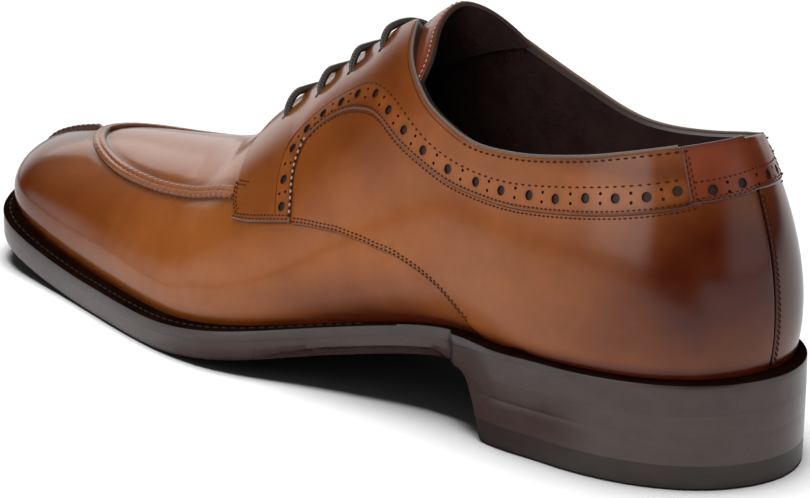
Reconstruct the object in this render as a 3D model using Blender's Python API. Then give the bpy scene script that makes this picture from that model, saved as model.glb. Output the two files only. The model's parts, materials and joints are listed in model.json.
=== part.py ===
"""A left split-toe derby shoe with a punched quarter band, built at full size in Blender.

Run it with blender --background --python part.py, or from the text editor.
Sizes are in millimetres on the shoe's own axes: y runs from the back of the heel (0) to the toe,
x is negative on the outer (lateral) side and positive on the inner (medial) side, z starts at the floor.
place() moves them to metres, with the middle of the shoe's footprint at the world origin.
"""

import bpy
import numpy as np

MM = 0.001
SHOE_LENGTH = 305.0
PIECE_GAP = 0.3

# Sole profile
FLAT_BACK = 198.0
FLAT_FRONT = 232.0
ARCH_RUN = 128.0
SEAT_HEIGHT = 18.4
SEAT_RISE = 1.6
SEAT_LENGTH = 70.0
TOE_SPRING = 11.0
SOLE_THICK = 9.2
HEEL_THINNER = 0.5
WELT_THICK = 3.5
HEEL_WELT_THICK = 2.1
WELT_STEP = 0.5
HEEL_BLEND_FRONT = 90.0
HEEL_BLEND_RUN = 30.0
EDGE_ROUND = 0.9
EDGE_SHOULDER = 0.5
TREAD_EDGE = 1.2
WAIST_ROUND = 3.0
WAIST_EDGE_RISE = 1.6
WAIST_START_RUN = 8.0
WAIST_END = 160.0
WAIST_END_RUN = 30.0

# Heel
TOP_PIECE = 6.5
HEEL_FRONT = 79.0
BREAST_SLOPE = 6.0
BREAST_HOLLOW = 3.0
HEEL_TAPER = 1.6
BREAST_CLEAR = 2.0
WING_OUT = 1.8
WING_RUN = 3.5
WING_BACK = 50.0
WING_BACK_RUN = 20.0

# Upper
WALL = 1.6
INSOLE_RISE = 2.0
THROAT_END = 188.0
THROAT_TOP = 100.0
THROAT_HALF = 4.0
THROAT_SPREAD = 1.5
THROAT_SPREAD_FROM = 150.0
THROAT_SPREAD_RUN = 30.0
SPINE_BACK = 38.0
SPINE_FRONT = 272.0

# Overlays lie on the upper, thickness counted from the upper's outside
OVERLAY_GAP = 0.55
QUARTER_THICK = 0.8
FACING_THICK = 1.3
HEEL_TAB_THICK = 1.3
HEEL_TAB_STATION = 1.28
HEEL_TAB_RISE = 0.406
HEEL_TAB_DIP = 0.018
BACK_SEAM_HALF = 0.02
SEAM_HALF = 2.0
SEAM_HEIGHT = 1.7
SEAM_TOP_SHARE = 0.62
TOE_SEAM_HALF = 1.0
TOE_SEAM_HEIGHT = 1.2
TOE_SEAM_TOP = 0.94
TOE_SEAM_FOOT = 0.06

# Tongue
TONGUE_THICK = 2.0
TONGUE_FOOT = 196.0
TONGUE_TOP_RISE = 0.56
TONGUE_FOOT_RISE = 0.72

LACE_RADIUS = 1.3
LACE_ARCH = 1.2

# Columns per row of the last, and steps up each column
UPPER_COLUMNS = 4
UPPER_STEPS = 8
SOLE_COLUMNS = 3

# The last, one row per section round the feather edge from the heel to the toe.
# x and y place the feather edge, spine is the y where the section meets the crest, overhang is how
# far the sole stands out there, lean tips the wall outward in degrees, and wall and crown are the
# lengths of the section's lower and upper handles.
LAST_COLUMNS = (
    "name", "lateral_x", "lateral_y", "medial_x", "medial_y", "spine", "overhang",
    "lateral_lean", "lateral_wall", "lateral_crown", "medial_lean", "medial_wall", "medial_crown",
)
LAST_ROWS = (
    ("heel_back", 0.0, 4.4, 0.0, 4.4, 38, 4.4, 14, 37, 11, 14, 37, 11),
    ("heel_round", -15.5, 9.5, 15.5, 9.5, 39, 3.8, 13, 37, 14, 14, 37, 8),
    ("heel_side", -26.0, 23.0, 26.0, 23.0, 42, 3.2, 12, 36, 17, 12, 36, 13),
    ("heel_middle", -31.0, 44.0, 30.5, 44.0, 52, 3.0, 10, 34, 17, 10, 34, 14),
    ("breast", -30.5, 70.0, 29.5, 70.0, 74, 2.2, 13, 33, 15, 12, 33, 13),
    ("waist", -27.8, 95.0, 25.5, 97.0, 98, 1.6, 21, 33, 14, 16, 33, 13),
    ("arch", -31.5, 120.0, 25.0, 122.0, 120, 2.0, 23, 30, 13, 18, 32, 13),
    ("ball_back", -37.0, 143.0, 30.5, 147.0, 143, 2.6, 20, 26, 12, 17, 28, 13),
    ("ball", -41.6, 168.0, 39.0, 173.0, 168, 4.8, 14, 22, 14, 13, 24, 15),
    ("ball_front", -40.0, 195.0, 46.0, 200.0, 194, 5.2, 10, 18, 17, 10, 20, 18),
    ("vamp", -34.5, 221.0, 46.5, 227.0, 219, 5.2, 11, 17, 20, 11, 18, 20),
    ("toe_back", -28.3, 247.5, 40.5, 252.0, 241, 5.2, 14, 16, 20, 14, 16, 20),
    ("toe_side", -23.5, 271.0, 31.5, 273.0, 258, 5.2, 20, 16, 19, 20, 16, 19),
    ("toe_round", -15.3, 290.0, 19.5, 291.0, 268, 5.2, 26, 15, 20, 26, 15, 20),
    ("toe_tip", 4.0, 299.8, 4.0, 299.8, 272, 5.2, 26, 15, 20, 26, 15, 20),
)

# Crest of the last from over the heel to the toe: y, x, z
SPINE_ROWS = (
    (38, 0.0, 112.0),
    (60, 0.0, 113.5),
    (85, 0.0, 112.5),
    (105, 0.0, 108.5),
    (122, 0.5, 102.5),
    (137, 1.0, 94.3),
    (151, 1.5, 85.2),
    (166, 2.0, 75.2),
    (180, 2.5, 65.5),
    (194, 3.2, 55.2),
    (208, 4.2, 49.5),
    (225, 5.2, 46.3),
    (245, 5.8, 44.0),
    (262, 5.5, 42.2),
    (272, 5.0, 40.8),
)

# Top line seen from the side: y, lateral z, medial z
COLLAR_ROWS = (
    (12, 87.6, 87.6),
    (17, 86.8, 85.6),
    (24, 85.4, 82.8),
    (33, 83.3, 80.6),
    (42, 81.2, 79.0),
    (52, 79.3, 77.7),
    (62, 77.7, 77.2),
    (71, 76.9, 78.0),
    (79, 76.7, 80.5),
    (87, 77.6, 84.0),
    (95, 79.9, 87.8),
    (104, 83.3, 93.0),
    (111, 87.4, 97.0),
    (118, 92.4, 100.5),
    (122.5, 97.0, 104.0),
    (125.5, 101.0, 107.0),
    (128, 106.0, 112.0),
)

# A place on the last is a station, counted in rows of LAST_ROWS, and a rise from 0 at the feather
# edge to 1 at the crest. Facing panel: edge station, edge rise, station of the rim across from it.
FACING_ROWS = (
    (8.03, 0.370, 8.60),
    (7.78, 0.350, 8.50),
    (7.40, 0.332, 8.38),
    (7.08, 0.318, 8.27),
    (7.17, 0.385, 8.12),
    (7.28, 0.455, 7.95),
    (7.33, 0.520, 7.75),
    (7.30, 0.565, 7.55),
    (7.18, 0.590, 7.30),
    (6.93, 0.600, 7.00),
    (6.68, 0.592, 6.72),
    (6.45, 0.577, 6.48),
    (6.18, 0.549, 6.22),
    (5.98, 0.518, 6.00),
    (5.75, 0.478, 5.75),
    (5.18, 0.399, 5.18),
    (4.73, 0.355, 4.73),
    (4.28, 0.335, 4.28),
    (3.90, 0.330, 3.90),
    (3.18, 0.340, 3.18),
    (2.35, 0.360, 2.35),
    (1.30, 0.388, 1.30),
)

# Quarter below the facing panel: top station, top rise, bottom station, bottom rise
QUARTER_ROWS = (
    (7.10, 0.345, 7.02, 0.307),
    (7.28, 0.455, 6.80, 0.295),
    (7.33, 0.520, 6.62, 0.285),
    (7.30, 0.565, 6.45, 0.275),
    (7.18, 0.590, 6.30, 0.265),
    (6.93, 0.600, 6.10, 0.247),
    (6.68, 0.592, 5.90, 0.230),
    (6.45, 0.577, 5.70, 0.210),
    (6.18, 0.549, 5.50, 0.193),
    (5.98, 0.518, 5.32, 0.172),
    (5.75, 0.478, 5.10, 0.145),
    (5.18, 0.399, 4.73, 0.090),
    (4.73, 0.355, 4.50, 0.045),
    (4.28, 0.335, 4.22, 0.006),
    (3.90, 0.330, 3.90, 0.006),
    (3.18, 0.340, 3.18, 0.006),
    (2.35, 0.360, 2.35, 0.006),
    (1.75, 0.377, 1.75, 0.006),
    (1.30, 0.388, 1.30, 0.006),
    (0.85, 0.396, 0.85, 0.006),
    (0.42, 0.402, 0.42, 0.006),
    (0.00, 0.406, 0.00, 0.006),
)

# Raised apron seam seen from above: x, y
APRON_ROWS = (
    (-28.6, 175.0),
    (-25.6, 188.0),
    (-23.0, 201.5),
    (-21.1, 214.5),
    (-18.8, 227.0),
    (-15.9, 239.0),
    (-12.3, 250.0),
    (-8.2, 259.0),
    (-2.6, 266.5),
    (4.8, 270.5),
    (12.6, 267.4),
    (18.6, 260.0),
    (22.0, 249.0),
    (23.9, 235.0),
    (25.1, 220.0),
    (26.4, 205.0),
    (28.2, 190.0),
    (30.0, 176.5),
)

# Top edge of the tongue, from its lateral corner to its medial one: share across, y on the crest
TONGUE_EDGE_ROWS = (
    (-1.0, 104.4),
    (-0.75, 109.8),
    (-0.5, 113.5),
    (-0.25, 115.0),
    (0.0, 114.0),
    (0.25, 110.9),
    (0.5, 106.2),
    (0.75, 100.9),
    (1.0, 96.3),
)

# Eyelets, toe end first: station, rise
EYELET_ROWS = (
    (8.10, 0.735),
    (7.60, 0.745),
    (7.13, 0.765),
    (6.65, 0.790),
)

STATIONS = len(LAST_ROWS) - 1
RING = 2 * STATIONS


def clear_scene():
    for item in list(bpy.data.objects):
        bpy.data.objects.remove(item, do_unlink=True)


def ease(share):
    """A smooth step from 0 to 1."""
    share = np.clip(share, 0.0, 1.0)
    return share * share * (3.0 - 2.0 * share)


def curve_through(knots, values, at):
    """A natural cubic curve through the values at the knots."""
    knots = np.asarray(knots, float)
    values = np.asarray(values, float)
    at = np.asarray(at, float)
    count = len(knots)
    step = np.diff(knots)
    matrix = np.eye(count)
    right = np.zeros(count)
    for i in range(1, count - 1):
        matrix[i, i - 1 : i + 2] = step[i - 1], 2 * (step[i - 1] + step[i]), step[i]
        right[i] = 6 * ((values[i + 1] - values[i]) / step[i] - (values[i] - values[i - 1]) / step[i - 1])
    bend = np.linalg.solve(matrix, right)
    i = np.clip(np.searchsorted(knots, at) - 1, 0, count - 2)
    a = (knots[i + 1] - at) / step[i]
    b = 1.0 - a
    straight = a * values[i] + b * values[i + 1]
    return straight + ((a**3 - a) * bend[i] + (b**3 - b) * bend[i + 1]) * step[i] ** 2 / 6


def curve_round(values, at):
    """A closed cubic curve through evenly spaced values."""
    values = np.asarray(values, float)
    count = len(values)
    matrix = 4.0 * np.eye(count)
    for i in range(count):
        matrix[i, i - 1] = 1.0
        matrix[i, (i + 1) % count] = 1.0
    right = 6 * (np.roll(values, -1) - 2 * values + np.roll(values, 1))
    bend = np.linalg.solve(matrix, right)
    at = np.asarray(at, float) % count
    i = np.floor(at).astype(int) % count
    j = (i + 1) % count
    b = at - np.floor(at)
    a = 1.0 - b
    return a * values[i] + b * values[j] + ((a**3 - a) * bend[i] + (b**3 - b) * bend[j]) / 6


def ring_column(lateral, medial):
    """One column of the last, out along the lateral side and home along the medial side."""
    out = [row[LAST_COLUMNS.index(lateral)] for row in LAST_ROWS]
    home = [row[LAST_COLUMNS.index(medial)] for row in LAST_ROWS[-2:0:-1]]
    return out + home


FEATHER_X = ring_column("lateral_x", "medial_x")
FEATHER_Y = ring_column("lateral_y", "medial_y")
SPINE_AT = ring_column("spine", "spine")
OVERHANG = ring_column("overhang", "overhang")
LEAN = ring_column("lateral_lean", "medial_lean")
WALL_HANDLE = ring_column("lateral_wall", "medial_wall")
CROWN_HANDLE = ring_column("lateral_crown", "medial_crown")


def sole_bottom(y):
    """Underside of the outsole: flat under the ball, sprung at the toe, arched up to the heel seat."""
    y = np.asarray(y, float)
    arch = SEAT_HEIGHT * ease((FLAT_BACK - y) / ARCH_RUN)
    seat = SEAT_RISE * np.clip(1.0 - y / SEAT_LENGTH, 0.0, 1.0)
    toe = TOE_SPRING * (np.clip(y - FLAT_FRONT, 0.0, None) / (SHOE_LENGTH - FLAT_FRONT)) ** 2
    return arch + seat + toe


def heel_share(y):
    return ease((HEEL_BLEND_FRONT - np.asarray(y, float)) / HEEL_BLEND_RUN)


def sole_top(y):
    """Height of the feather edge, where the upper meets the welt."""
    return sole_bottom(y) + SOLE_THICK - HEEL_THINNER * heel_share(y)


def outsole_top(y):
    welt = WELT_THICK + (HEEL_WELT_THICK - WELT_THICK) * heel_share(y)
    return sole_top(y) - welt - PIECE_GAP


def spine(y):
    rows = np.array(SPINE_ROWS)
    x = curve_through(rows[:, 0], rows[:, 1], y)
    z = curve_through(rows[:, 0], rows[:, 2], y)
    return np.stack([x, np.asarray(y, float), z], axis=-1)


def feather(station):
    return np.stack([curve_round(FEATHER_X, station), curve_round(FEATHER_Y, station)], axis=-1)


def feather_outward(station):
    along = feather(station + 0.001) - feather(station - 0.001)
    outward = np.stack([-along[:, 1], along[:, 0]], axis=-1)
    return outward / np.linalg.norm(outward, axis=1)[:, None]


def last_surface(station, rise):
    """Points of the last. Each section is a cubic curve from the feather edge to the crest."""
    station = np.atleast_1d(np.asarray(station, float))
    rise = np.atleast_1d(np.asarray(rise, float))[:, None]
    edge = feather(station)
    foot = np.column_stack([edge, sole_top(edge[:, 1])])
    lean = np.radians(curve_round(LEAN, station))[:, None]
    outward = feather_outward(station) * np.sin(lean)
    wall = curve_round(WALL_HANDLE, station)[:, None]
    foot_handle = foot + wall * np.column_stack([outward, np.cos(lean)])
    at = np.clip(curve_round(SPINE_AT, station), SPINE_BACK, SPINE_FRONT)
    crest = spine(at)
    along = spine(np.minimum(at + 0.5, SPINE_FRONT)) - spine(np.maximum(at - 0.5, SPINE_BACK))
    toward = (foot - crest)[:, :2]
    across = toward[:, 0] * along[:, 1] - toward[:, 1] * along[:, 0]
    side = along * toward[:, 1:2]
    side[:, 0] += across
    side /= np.linalg.norm(side, axis=1)[:, None]
    crest_handle = crest + side * curve_round(CROWN_HANDLE, station)[:, None]
    rest = 1.0 - rise
    lower = rest**3 * foot + 3 * rest**2 * rise * foot_handle
    return lower + 3 * rest * rise**2 * crest_handle + rise**3 * crest


def last_normal(station, rise):
    """Outward directions of the last, read just beside the crest where sections meet."""
    station = np.atleast_1d(np.asarray(station, float))
    rise = np.clip(np.atleast_1d(np.asarray(rise, float)), 0.002, 0.99)
    step = 0.002
    along = last_surface(station + step, rise) - last_surface(station - step, rise)
    up = last_surface(station, rise + step) - last_surface(station, rise - step)
    normal = np.cross(up, along)
    return normal / np.linalg.norm(normal, axis=1)[:, None]


def on_last(station, rise, height):
    """Points at a height off the last."""
    return last_surface(station, rise) + height * last_normal(station, rise)


def throat_half(y):
    """Half the gap between the facings, rounded off at its toe end and -1 where there is none."""
    y = np.asarray(y, float)
    half = THROAT_HALF + THROAT_SPREAD * ease((THROAT_SPREAD_FROM - y) / THROAT_SPREAD_RUN)
    round_end = np.clip((THROAT_END - y) / THROAT_HALF, 0.0, 1.0)
    inside = (y < THROAT_END) & (y > THROAT_TOP)
    return np.where(inside, half * np.sqrt(1.0 - (1.0 - round_end) ** 2), -1.0)


def rim_rise(station):
    """How far up a section the upper reaches before the collar or the throat cuts it."""
    rise = np.linspace(0.0, 1.0, 401)
    points = last_surface(np.full(len(rise), station), rise)
    y = points[:, 1]
    rows = np.array(COLLAR_ROWS)
    lateral = station % RING <= STATIONS
    collar = np.interp(y, rows[:, 0], rows[:, 1 if lateral else 2])
    over_collar = (points[:, 2] > collar) & (y < rows[-1, 0])
    centre = spine(np.clip(y, SPINE_BACK, SPINE_FRONT))[:, 0]
    in_throat = np.abs(points[:, 0] - centre) < throat_half(y)
    cut = np.nonzero(over_collar | in_throat)[0]
    return rise[cut[0] - 1] if len(cut) else 1.0


def sole_outline(station, inset=0.0):
    """Edge of the sole: the feather edge plus the overhang, with a wing at each heel breast."""
    edge = feather(station)
    y = edge[:, 1]
    wing = ease((HEEL_FRONT + WING_RUN - y) / WING_RUN) * ease((y - WING_BACK) / WING_BACK_RUN)
    reach = curve_round(OVERHANG, station) + WING_OUT * wing - inset
    return edge + feather_outward(station) * reach[:, None]


SOLE_STATIONS = np.concatenate(
    [
        np.linspace(0.0, 4.0, 4 * SOLE_COLUMNS, endpoint=False),
        np.linspace(4.0, 5.0, 9, endpoint=False),
        np.linspace(5.0, STATIONS, (STATIONS - 5) * SOLE_COLUMNS, endpoint=False),
    ]
)
SOLE_RING = np.concatenate([SOLE_STATIONS, [STATIONS], RING - SOLE_STATIONS[:0:-1]])
FOOTPRINT = sole_outline(SOLE_RING)
MIDDLE = (FOOTPRINT.min(axis=0) + FOOTPRINT.max(axis=0)) / 2


def place(points):
    """Shoe millimetres to world metres."""
    points = np.asarray(points, float)
    shift = np.array([MIDDLE[0], MIDDLE[1], 0.0])
    return (points - shift) * MM


def at_height(outline, z):
    return np.column_stack([outline, z])


def make_material(name, colour, roughness):
    material = bpy.data.materials.new(name)
    material.use_nodes = True
    shader = material.node_tree.nodes["Principled BSDF"]
    shader.inputs["Base Color"].default_value = (*colour, 1.0)
    shader.inputs["Roughness"].default_value = roughness
    shader.inputs["Metallic"].default_value = 0.0
    return material


def add_mesh(name, points, faces, colour, roughness):
    mesh = bpy.data.meshes.new(name)
    mesh.from_pydata([tuple(point) for point in place(points)], [], [tuple(face) for face in faces])
    mesh.validate()
    mesh.shade_smooth()
    mesh.set_sharp_from_angle(angle=np.radians(40.0))
    mesh.materials.append(make_material(name, colour, roughness))
    item = bpy.data.objects.new(name, mesh)
    bpy.context.scene.collection.objects.link(item)
    return item


def thicken(item, thickness, offset):
    """Gives a sheet its thickness: offset -1 grows it inward, 1 outward."""
    modifier = item.modifiers.new("thickness", "SOLIDIFY")
    modifier.thickness = thickness * MM
    modifier.offset = offset
    modifier.use_even_offset = True
    modifier.use_quality_normals = True


def ring_faces(lower, upper, count):
    return [(lower + i, lower + (i + 1) % count, upper + (i + 1) % count, upper + i) for i in range(count)]


def cap_faces(start, count, flip):
    """Closes a loop that begins on the centre line, with strips from its one side to the other."""
    faces = [(start, start + 1, start + count - 1)]
    for i in range(1, (count - 1) // 2):
        faces.append((start + i, start + i + 1, start + count - i - 1, start + count - i))
    half = count // 2
    if count % 2 == 0:
        faces.append((start + half - 1, start + half, start + half + 1))
    return [face[::-1] for face in faces] if flip else faces


def loft(name, loops, colour, roughness):
    """A solid through closed loops from bottom to top, each starting at the heel and running lateral."""
    count = len(loops[0])
    faces = cap_faces(0, count, False)
    for level in range(len(loops) - 1):
        faces += [face[::-1] for face in ring_faces(level * count, (level + 1) * count, count)]
    faces += cap_faces((len(loops) - 1) * count, count, True)
    return add_mesh(name, np.concatenate(loops), faces, colour, roughness)


def sheet_on_last(name, stations, rises, height, thickness, colour, roughness):
    """A piece of leather laid on the last over a grid of stations and rises."""
    rows, columns = stations.shape
    points = on_last(stations.ravel(), rises.ravel(), height)
    faces = []
    for i in range(rows - 1):
        for j in range(columns - 1):
            a = i * columns + j
            faces.append((a, a + 1, a + columns + 1, a + columns))
    corner, up, _, along = points[list(faces[0])]
    outward = last_normal(stations.ravel()[:1], rises.ravel()[:1])[0]
    if np.dot(np.cross(up - corner, along - corner), outward) < 0:
        faces = [face[::-1] for face in faces]
    item = add_mesh(name, points, faces, colour, roughness)
    thicken(item, thickness, 1.0 if height >= 0 else -1.0)


def refine(rows, cuts):
    """Adds evenly spaced rows between the rows of a table."""
    rows = np.array(rows)
    places = np.linspace(0, len(rows) - 1, (len(rows) - 1) * cuts + 1)
    return np.column_stack([np.interp(places, np.arange(len(rows)), column) for column in rows.T])


def build_outsole():
    side = sole_outline(SOLE_RING)
    y = side[:, 1]
    waist = ease((y - HEEL_FRONT - BREAST_CLEAR) / WAIST_START_RUN) * ease((WAIST_END - y) / WAIST_END_RUN)
    heel = ease((HEEL_FRONT - y) / BREAST_CLEAR)
    under = (EDGE_ROUND + (WAIST_ROUND - EDGE_ROUND) * waist) * (1.0 - heel)
    tread = sole_outline(SOLE_RING, under)
    edge = sole_outline(SOLE_RING, under / 3)
    low = sole_bottom(y) + TREAD_EDGE + WAIST_EDGE_RISE * waist
    high = outsole_top(y)
    loops = (
        at_height(tread, sole_bottom(tread[:, 1])),
        at_height(edge, low - TREAD_EDGE / 2),
        at_height(side, low),
        at_height(side, high - EDGE_SHOULDER),
        at_height(sole_outline(SOLE_RING, EDGE_SHOULDER), high),
    )
    loft("outsole", loops, (0.10, 0.075, 0.065), 0.32)


def build_welt():
    """A ring between outsole and upper, its inner edge just inside the upper's wall."""
    count = len(SOLE_RING)
    outer = sole_outline(SOLE_RING, WELT_STEP)
    inner = feather(SOLE_RING) - feather_outward(SOLE_RING) * WALL
    floor_z = outsole_top(outer[:, 1]) + PIECE_GAP
    roof_z = sole_top(outer[:, 1]) - PIECE_GAP
    loops = (
        at_height(outer, floor_z),
        at_height(outer, roof_z),
        at_height(inner, sole_top(inner[:, 1]) - PIECE_GAP),
        at_height(inner, outsole_top(inner[:, 1]) + PIECE_GAP),
    )
    faces = []
    for level in range(len(loops)):
        following = (level + 1) % len(loops)
        faces += [face[::-1] for face in ring_faces(level * count, following * count, count)]
    add_mesh("welt", np.concatenate(loops), faces, (0.045, 0.03, 0.025), 0.35)


def heel_loop(share, z):
    """One level of the heel, from share 0 at the floor to 1 at the seat. z None follows the outsole."""
    front = HEEL_FRONT - BREAST_SLOPE * (1.0 - share)
    inset = HEEL_TAPER * (1.0 - share)
    sides = np.linspace(0.0, 5.0, 501)
    lateral_end = sides[sole_outline(sides, inset)[:, 1] < front][-1]
    medial_end = sides[sole_outline(RING - sides, inset)[:, 1] < front][-1]
    lateral = sole_outline(np.linspace(0.0, lateral_end, 17), inset)
    medial = sole_outline(RING - np.linspace(0.0, medial_end, 17), inset)[:0:-1]
    across = np.linspace(0.0, 1.0, 9)[1:-1]
    breast_x = lateral[-1, 0] + (medial[0, 0] - lateral[-1, 0]) * across
    breast_y = front - BREAST_HOLLOW * np.sin(np.pi * across)
    outline = np.concatenate([lateral, np.column_stack([breast_x, breast_y]), medial])
    height = sole_bottom(outline[:, 1]) - PIECE_GAP if z is None else np.full(len(outline), z)
    return at_height(outline, height)


def build_heel():
    seam = TOP_PIECE / (SEAT_HEIGHT + SEAT_RISE)
    top_piece = (heel_loop(0.0, 0.0), heel_loop(seam, TOP_PIECE))
    loft("heel_top_piece", top_piece, (0.045, 0.032, 0.03), 0.4)
    stack = (heel_loop(seam, TOP_PIECE + PIECE_GAP), heel_loop(1.0, None))
    loft("heel_stack", stack, (0.09, 0.07, 0.065), 0.3)


def build_insole():
    edge = feather(SOLE_RING) - feather_outward(SOLE_RING) * (WALL + 2 * PIECE_GAP)
    loops = (
        at_height(edge, outsole_top(edge[:, 1]) + PIECE_GAP),
        at_height(edge, sole_top(edge[:, 1]) + INSOLE_RISE),
    )
    loft("insole", loops, (0.03, 0.02, 0.016), 0.6)


def build_upper():
    """The hollow upper: one wall over the last, open at collar, throat and underneath."""
    count = RING * UPPER_COLUMNS
    stations = np.arange(count) / UPPER_COLUMNS
    rims = np.array([rim_rise(station) for station in stations])
    steps = np.linspace(0.0, 1.0, UPPER_STEPS + 1)
    points = []
    index = np.zeros((count, UPPER_STEPS + 1), int)
    total = 0
    for i in range(count):
        column = last_surface(np.full(len(steps), stations[i]), steps * rims[i])
        mirrored = (count - i) % count
        joined = rims[i] == 1.0 and i > count // 2
        keep = UPPER_STEPS if joined else UPPER_STEPS + 1
        points.append(column[:keep])
        index[i, :keep] = total + np.arange(keep)
        if joined:
            index[i, -1] = index[mirrored, -1]
        total += keep
    faces = []
    for i in range(count):
        after = (i + 1) % count
        for j in range(UPPER_STEPS):
            corners = (index[i, j], index[i, j + 1], index[after, j + 1], index[after, j])
            face = tuple(dict.fromkeys(corners))
            faces.append(face)
    item = add_mesh("upper", np.concatenate(points), faces, (0.30, 0.115, 0.045), 0.35)
    thicken(item, WALL, -1.0)


def build_tongue():
    """A tongue under the facings, following the last's crest."""
    sides = np.linspace(5.0, 10.0, 501)
    spine_at = curve_round(SPINE_AT, sides)
    across = np.linspace(-1.0, 1.0, 13)
    edge = np.array(TONGUE_EDGE_ROWS)
    top = curve_through(edge[:, 0], edge[:, 1], across)
    stations = []
    rises = []
    for share in np.linspace(0.0, 1.0, 13):
        reach = top + (TONGUE_FOOT - top) * share
        station = np.interp(reach, spine_at, sides)
        edge_rise = TONGUE_TOP_RISE + (TONGUE_FOOT_RISE - TONGUE_TOP_RISE) * share
        stations.append(np.where(across <= 0, station, RING - station))
        rises.append(1.0 - (1.0 - edge_rise) * np.abs(across))
    height = -(WALL + OVERLAY_GAP + PIECE_GAP)
    sheet_on_last("tongue", np.array(stations), np.array(rises), height, TONGUE_THICK, (0.28, 0.09, 0.035), 0.45)


def side_station(station, medial):
    return RING - station if medial else station


def build_facing(name, medial):
    """Facing and top line panel, from the punched band's edge to the collar and throat."""
    rows = refine(FACING_ROWS, 2)
    across = np.linspace(0.0, 0.985, 5)
    rim_station = rows[:, 2]
    rim = np.array([rim_rise(side_station(station, medial)) for station in rim_station])
    stations = rows[:, 0][:, None] + (rim_station - rows[:, 0])[:, None] * across
    rises = rows[:, 1][:, None] + (rim - rows[:, 1])[:, None] * across
    stations = side_station(stations, medial)
    sheet_on_last(name, stations, rises, OVERLAY_GAP, FACING_THICK, (0.32, 0.125, 0.05), 0.33)


def build_quarter(name, medial):
    """Quarter under the facing panel, down to the welt and back to the heel seam."""
    rows = refine(QUARTER_ROWS, 2)
    across = np.linspace(0.02, 0.98, 6)
    stations = rows[:, 0][:, None] + (rows[:, 2] - rows[:, 0])[:, None] * across
    rises = rows[:, 1][:, None] + (rows[:, 3] - rows[:, 1])[:, None] * across
    stations = side_station(np.maximum(stations, BACK_SEAM_HALF), medial)
    sheet_on_last(name, stations, rises, OVERLAY_GAP, QUARTER_THICK, (0.31, 0.12, 0.048), 0.33)


def build_heel_tab():
    """The strap-shaped tab round the back of the collar."""
    along = np.linspace(-HEEL_TAB_STATION, HEEL_TAB_STATION, 13)
    across = np.linspace(0.02, 0.985, 5)
    rim = np.array([rim_rise(station % RING) for station in along])
    low = HEEL_TAB_RISE - HEEL_TAB_DIP * np.abs(along) / HEEL_TAB_STATION
    rises = low[:, None] + (rim - low)[:, None] * across
    stations = np.repeat(along[:, None], len(across), axis=1)
    sheet_on_last("heel_tab", stations, rises, OVERLAY_GAP, HEEL_TAB_THICK, (0.19, 0.045, 0.02), 0.33)


def last_cloud():
    """Closely spaced points and outward directions of the last's front half."""
    stations = np.arange(STATIONS / 2, RING - STATIONS / 2, 0.05)
    station, rise = np.meshgrid(stations, np.arange(0.2, 1.0, 0.01), indexing="ij")
    return last_surface(station.ravel(), rise.ravel()), last_normal(station.ravel(), rise.ravel())


def top_points(outline):
    """Drops points seen from above onto the last, and gives the outward direction there."""
    points, normals = last_cloud()
    found = []
    directions = []
    for x, y in outline:
        near = np.argmin((points[:, 0] - x) ** 2 + (points[:, 1] - y) ** 2)
        base = points[near]
        normal = normals[near]
        z = base[2] - (normal[0] * (x - base[0]) + normal[1] * (y - base[1])) / normal[2]
        found.append((x, y, z))
        directions.append(normal)
    return np.array(found), np.array(directions)


def ridge(name, path, normals, half, height, colour, roughness):
    """A rounded cord-like ridge along a path on the upper."""
    tangent = np.gradient(path, axis=0)
    side = np.cross(tangent, normals)
    side /= np.linalg.norm(side, axis=1)[:, None]
    top = half * SEAM_TOP_SHARE
    section = ((-half, OVERLAY_GAP), (-top, height), (top, height), (half, OVERLAY_GAP))
    size = len(section)
    points = np.concatenate([path + side * across + normals * up for across, up in section])
    count = len(path)
    faces = []
    for k in range(size):
        after = (k + 1) % size
        for i in range(count - 1):
            faces.append((k * count + i, after * count + i, after * count + i + 1, k * count + i + 1))
    faces.append(tuple(k * count for k in range(size))[::-1])
    faces.append(tuple(k * count + count - 1 for k in range(size)))
    add_mesh(name, points, faces, colour, roughness)


def build_seams():
    rows = np.array(APRON_ROWS)
    run = np.concatenate([[0.0], np.cumsum(np.hypot(*np.diff(rows, axis=0).T))])
    places = np.linspace(0.0, run[-1], 61)
    outline = np.column_stack([curve_through(run, rows[:, 0], places), curve_through(run, rows[:, 1], places)])
    path, normals = top_points(outline)
    ridge("apron_seam", path, normals, SEAM_HALF, SEAM_HEIGHT, (0.22, 0.075, 0.03), 0.4)
    rises = np.linspace(TOE_SEAM_TOP, TOE_SEAM_FOOT, 17)
    centre = np.full(len(rises), float(STATIONS))
    path = last_surface(centre, rises)
    normals = last_normal(centre, rises)
    ridge("toe_seam", path, normals, TOE_SEAM_HALF, TOE_SEAM_HEIGHT, (0.10, 0.03, 0.014), 0.4)


def build_laces():
    """Four straight bars, each from its lateral eyelet over the gap to its medial one."""
    for number, (station, rise) in enumerate(EYELET_ROWS, start=1):
        across = np.linspace(-1.0, 1.0, 9)
        stations = np.where(across <= 0, station, RING - station)
        rises = 1.0 - (1.0 - rise) * np.abs(across)
        clear = OVERLAY_GAP + FACING_THICK + PIECE_GAP + LACE_RADIUS
        height = clear + LACE_ARCH * (1.0 - across**2)
        points = last_surface(stations, rises) + height[:, None] * last_normal(stations, rises)
        curve = bpy.data.curves.new(f"lace_bar_{number}", "CURVE")
        curve.dimensions = "3D"
        curve.bevel_depth = LACE_RADIUS * MM
        curve.bevel_resolution = 2
        curve.use_fill_caps = True
        spline = curve.splines.new("POLY")
        spline.points.add(len(points) - 1)
        for spot, point in zip(spline.points, place(points)):
            spot.co = (*point, 1.0)
        curve.materials.append(make_material(f"lace_bar_{number}", (0.05, 0.04, 0.035), 0.6))
        item = bpy.data.objects.new(f"lace_bar_{number}", curve)
        bpy.context.scene.collection.objects.link(item)


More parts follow.
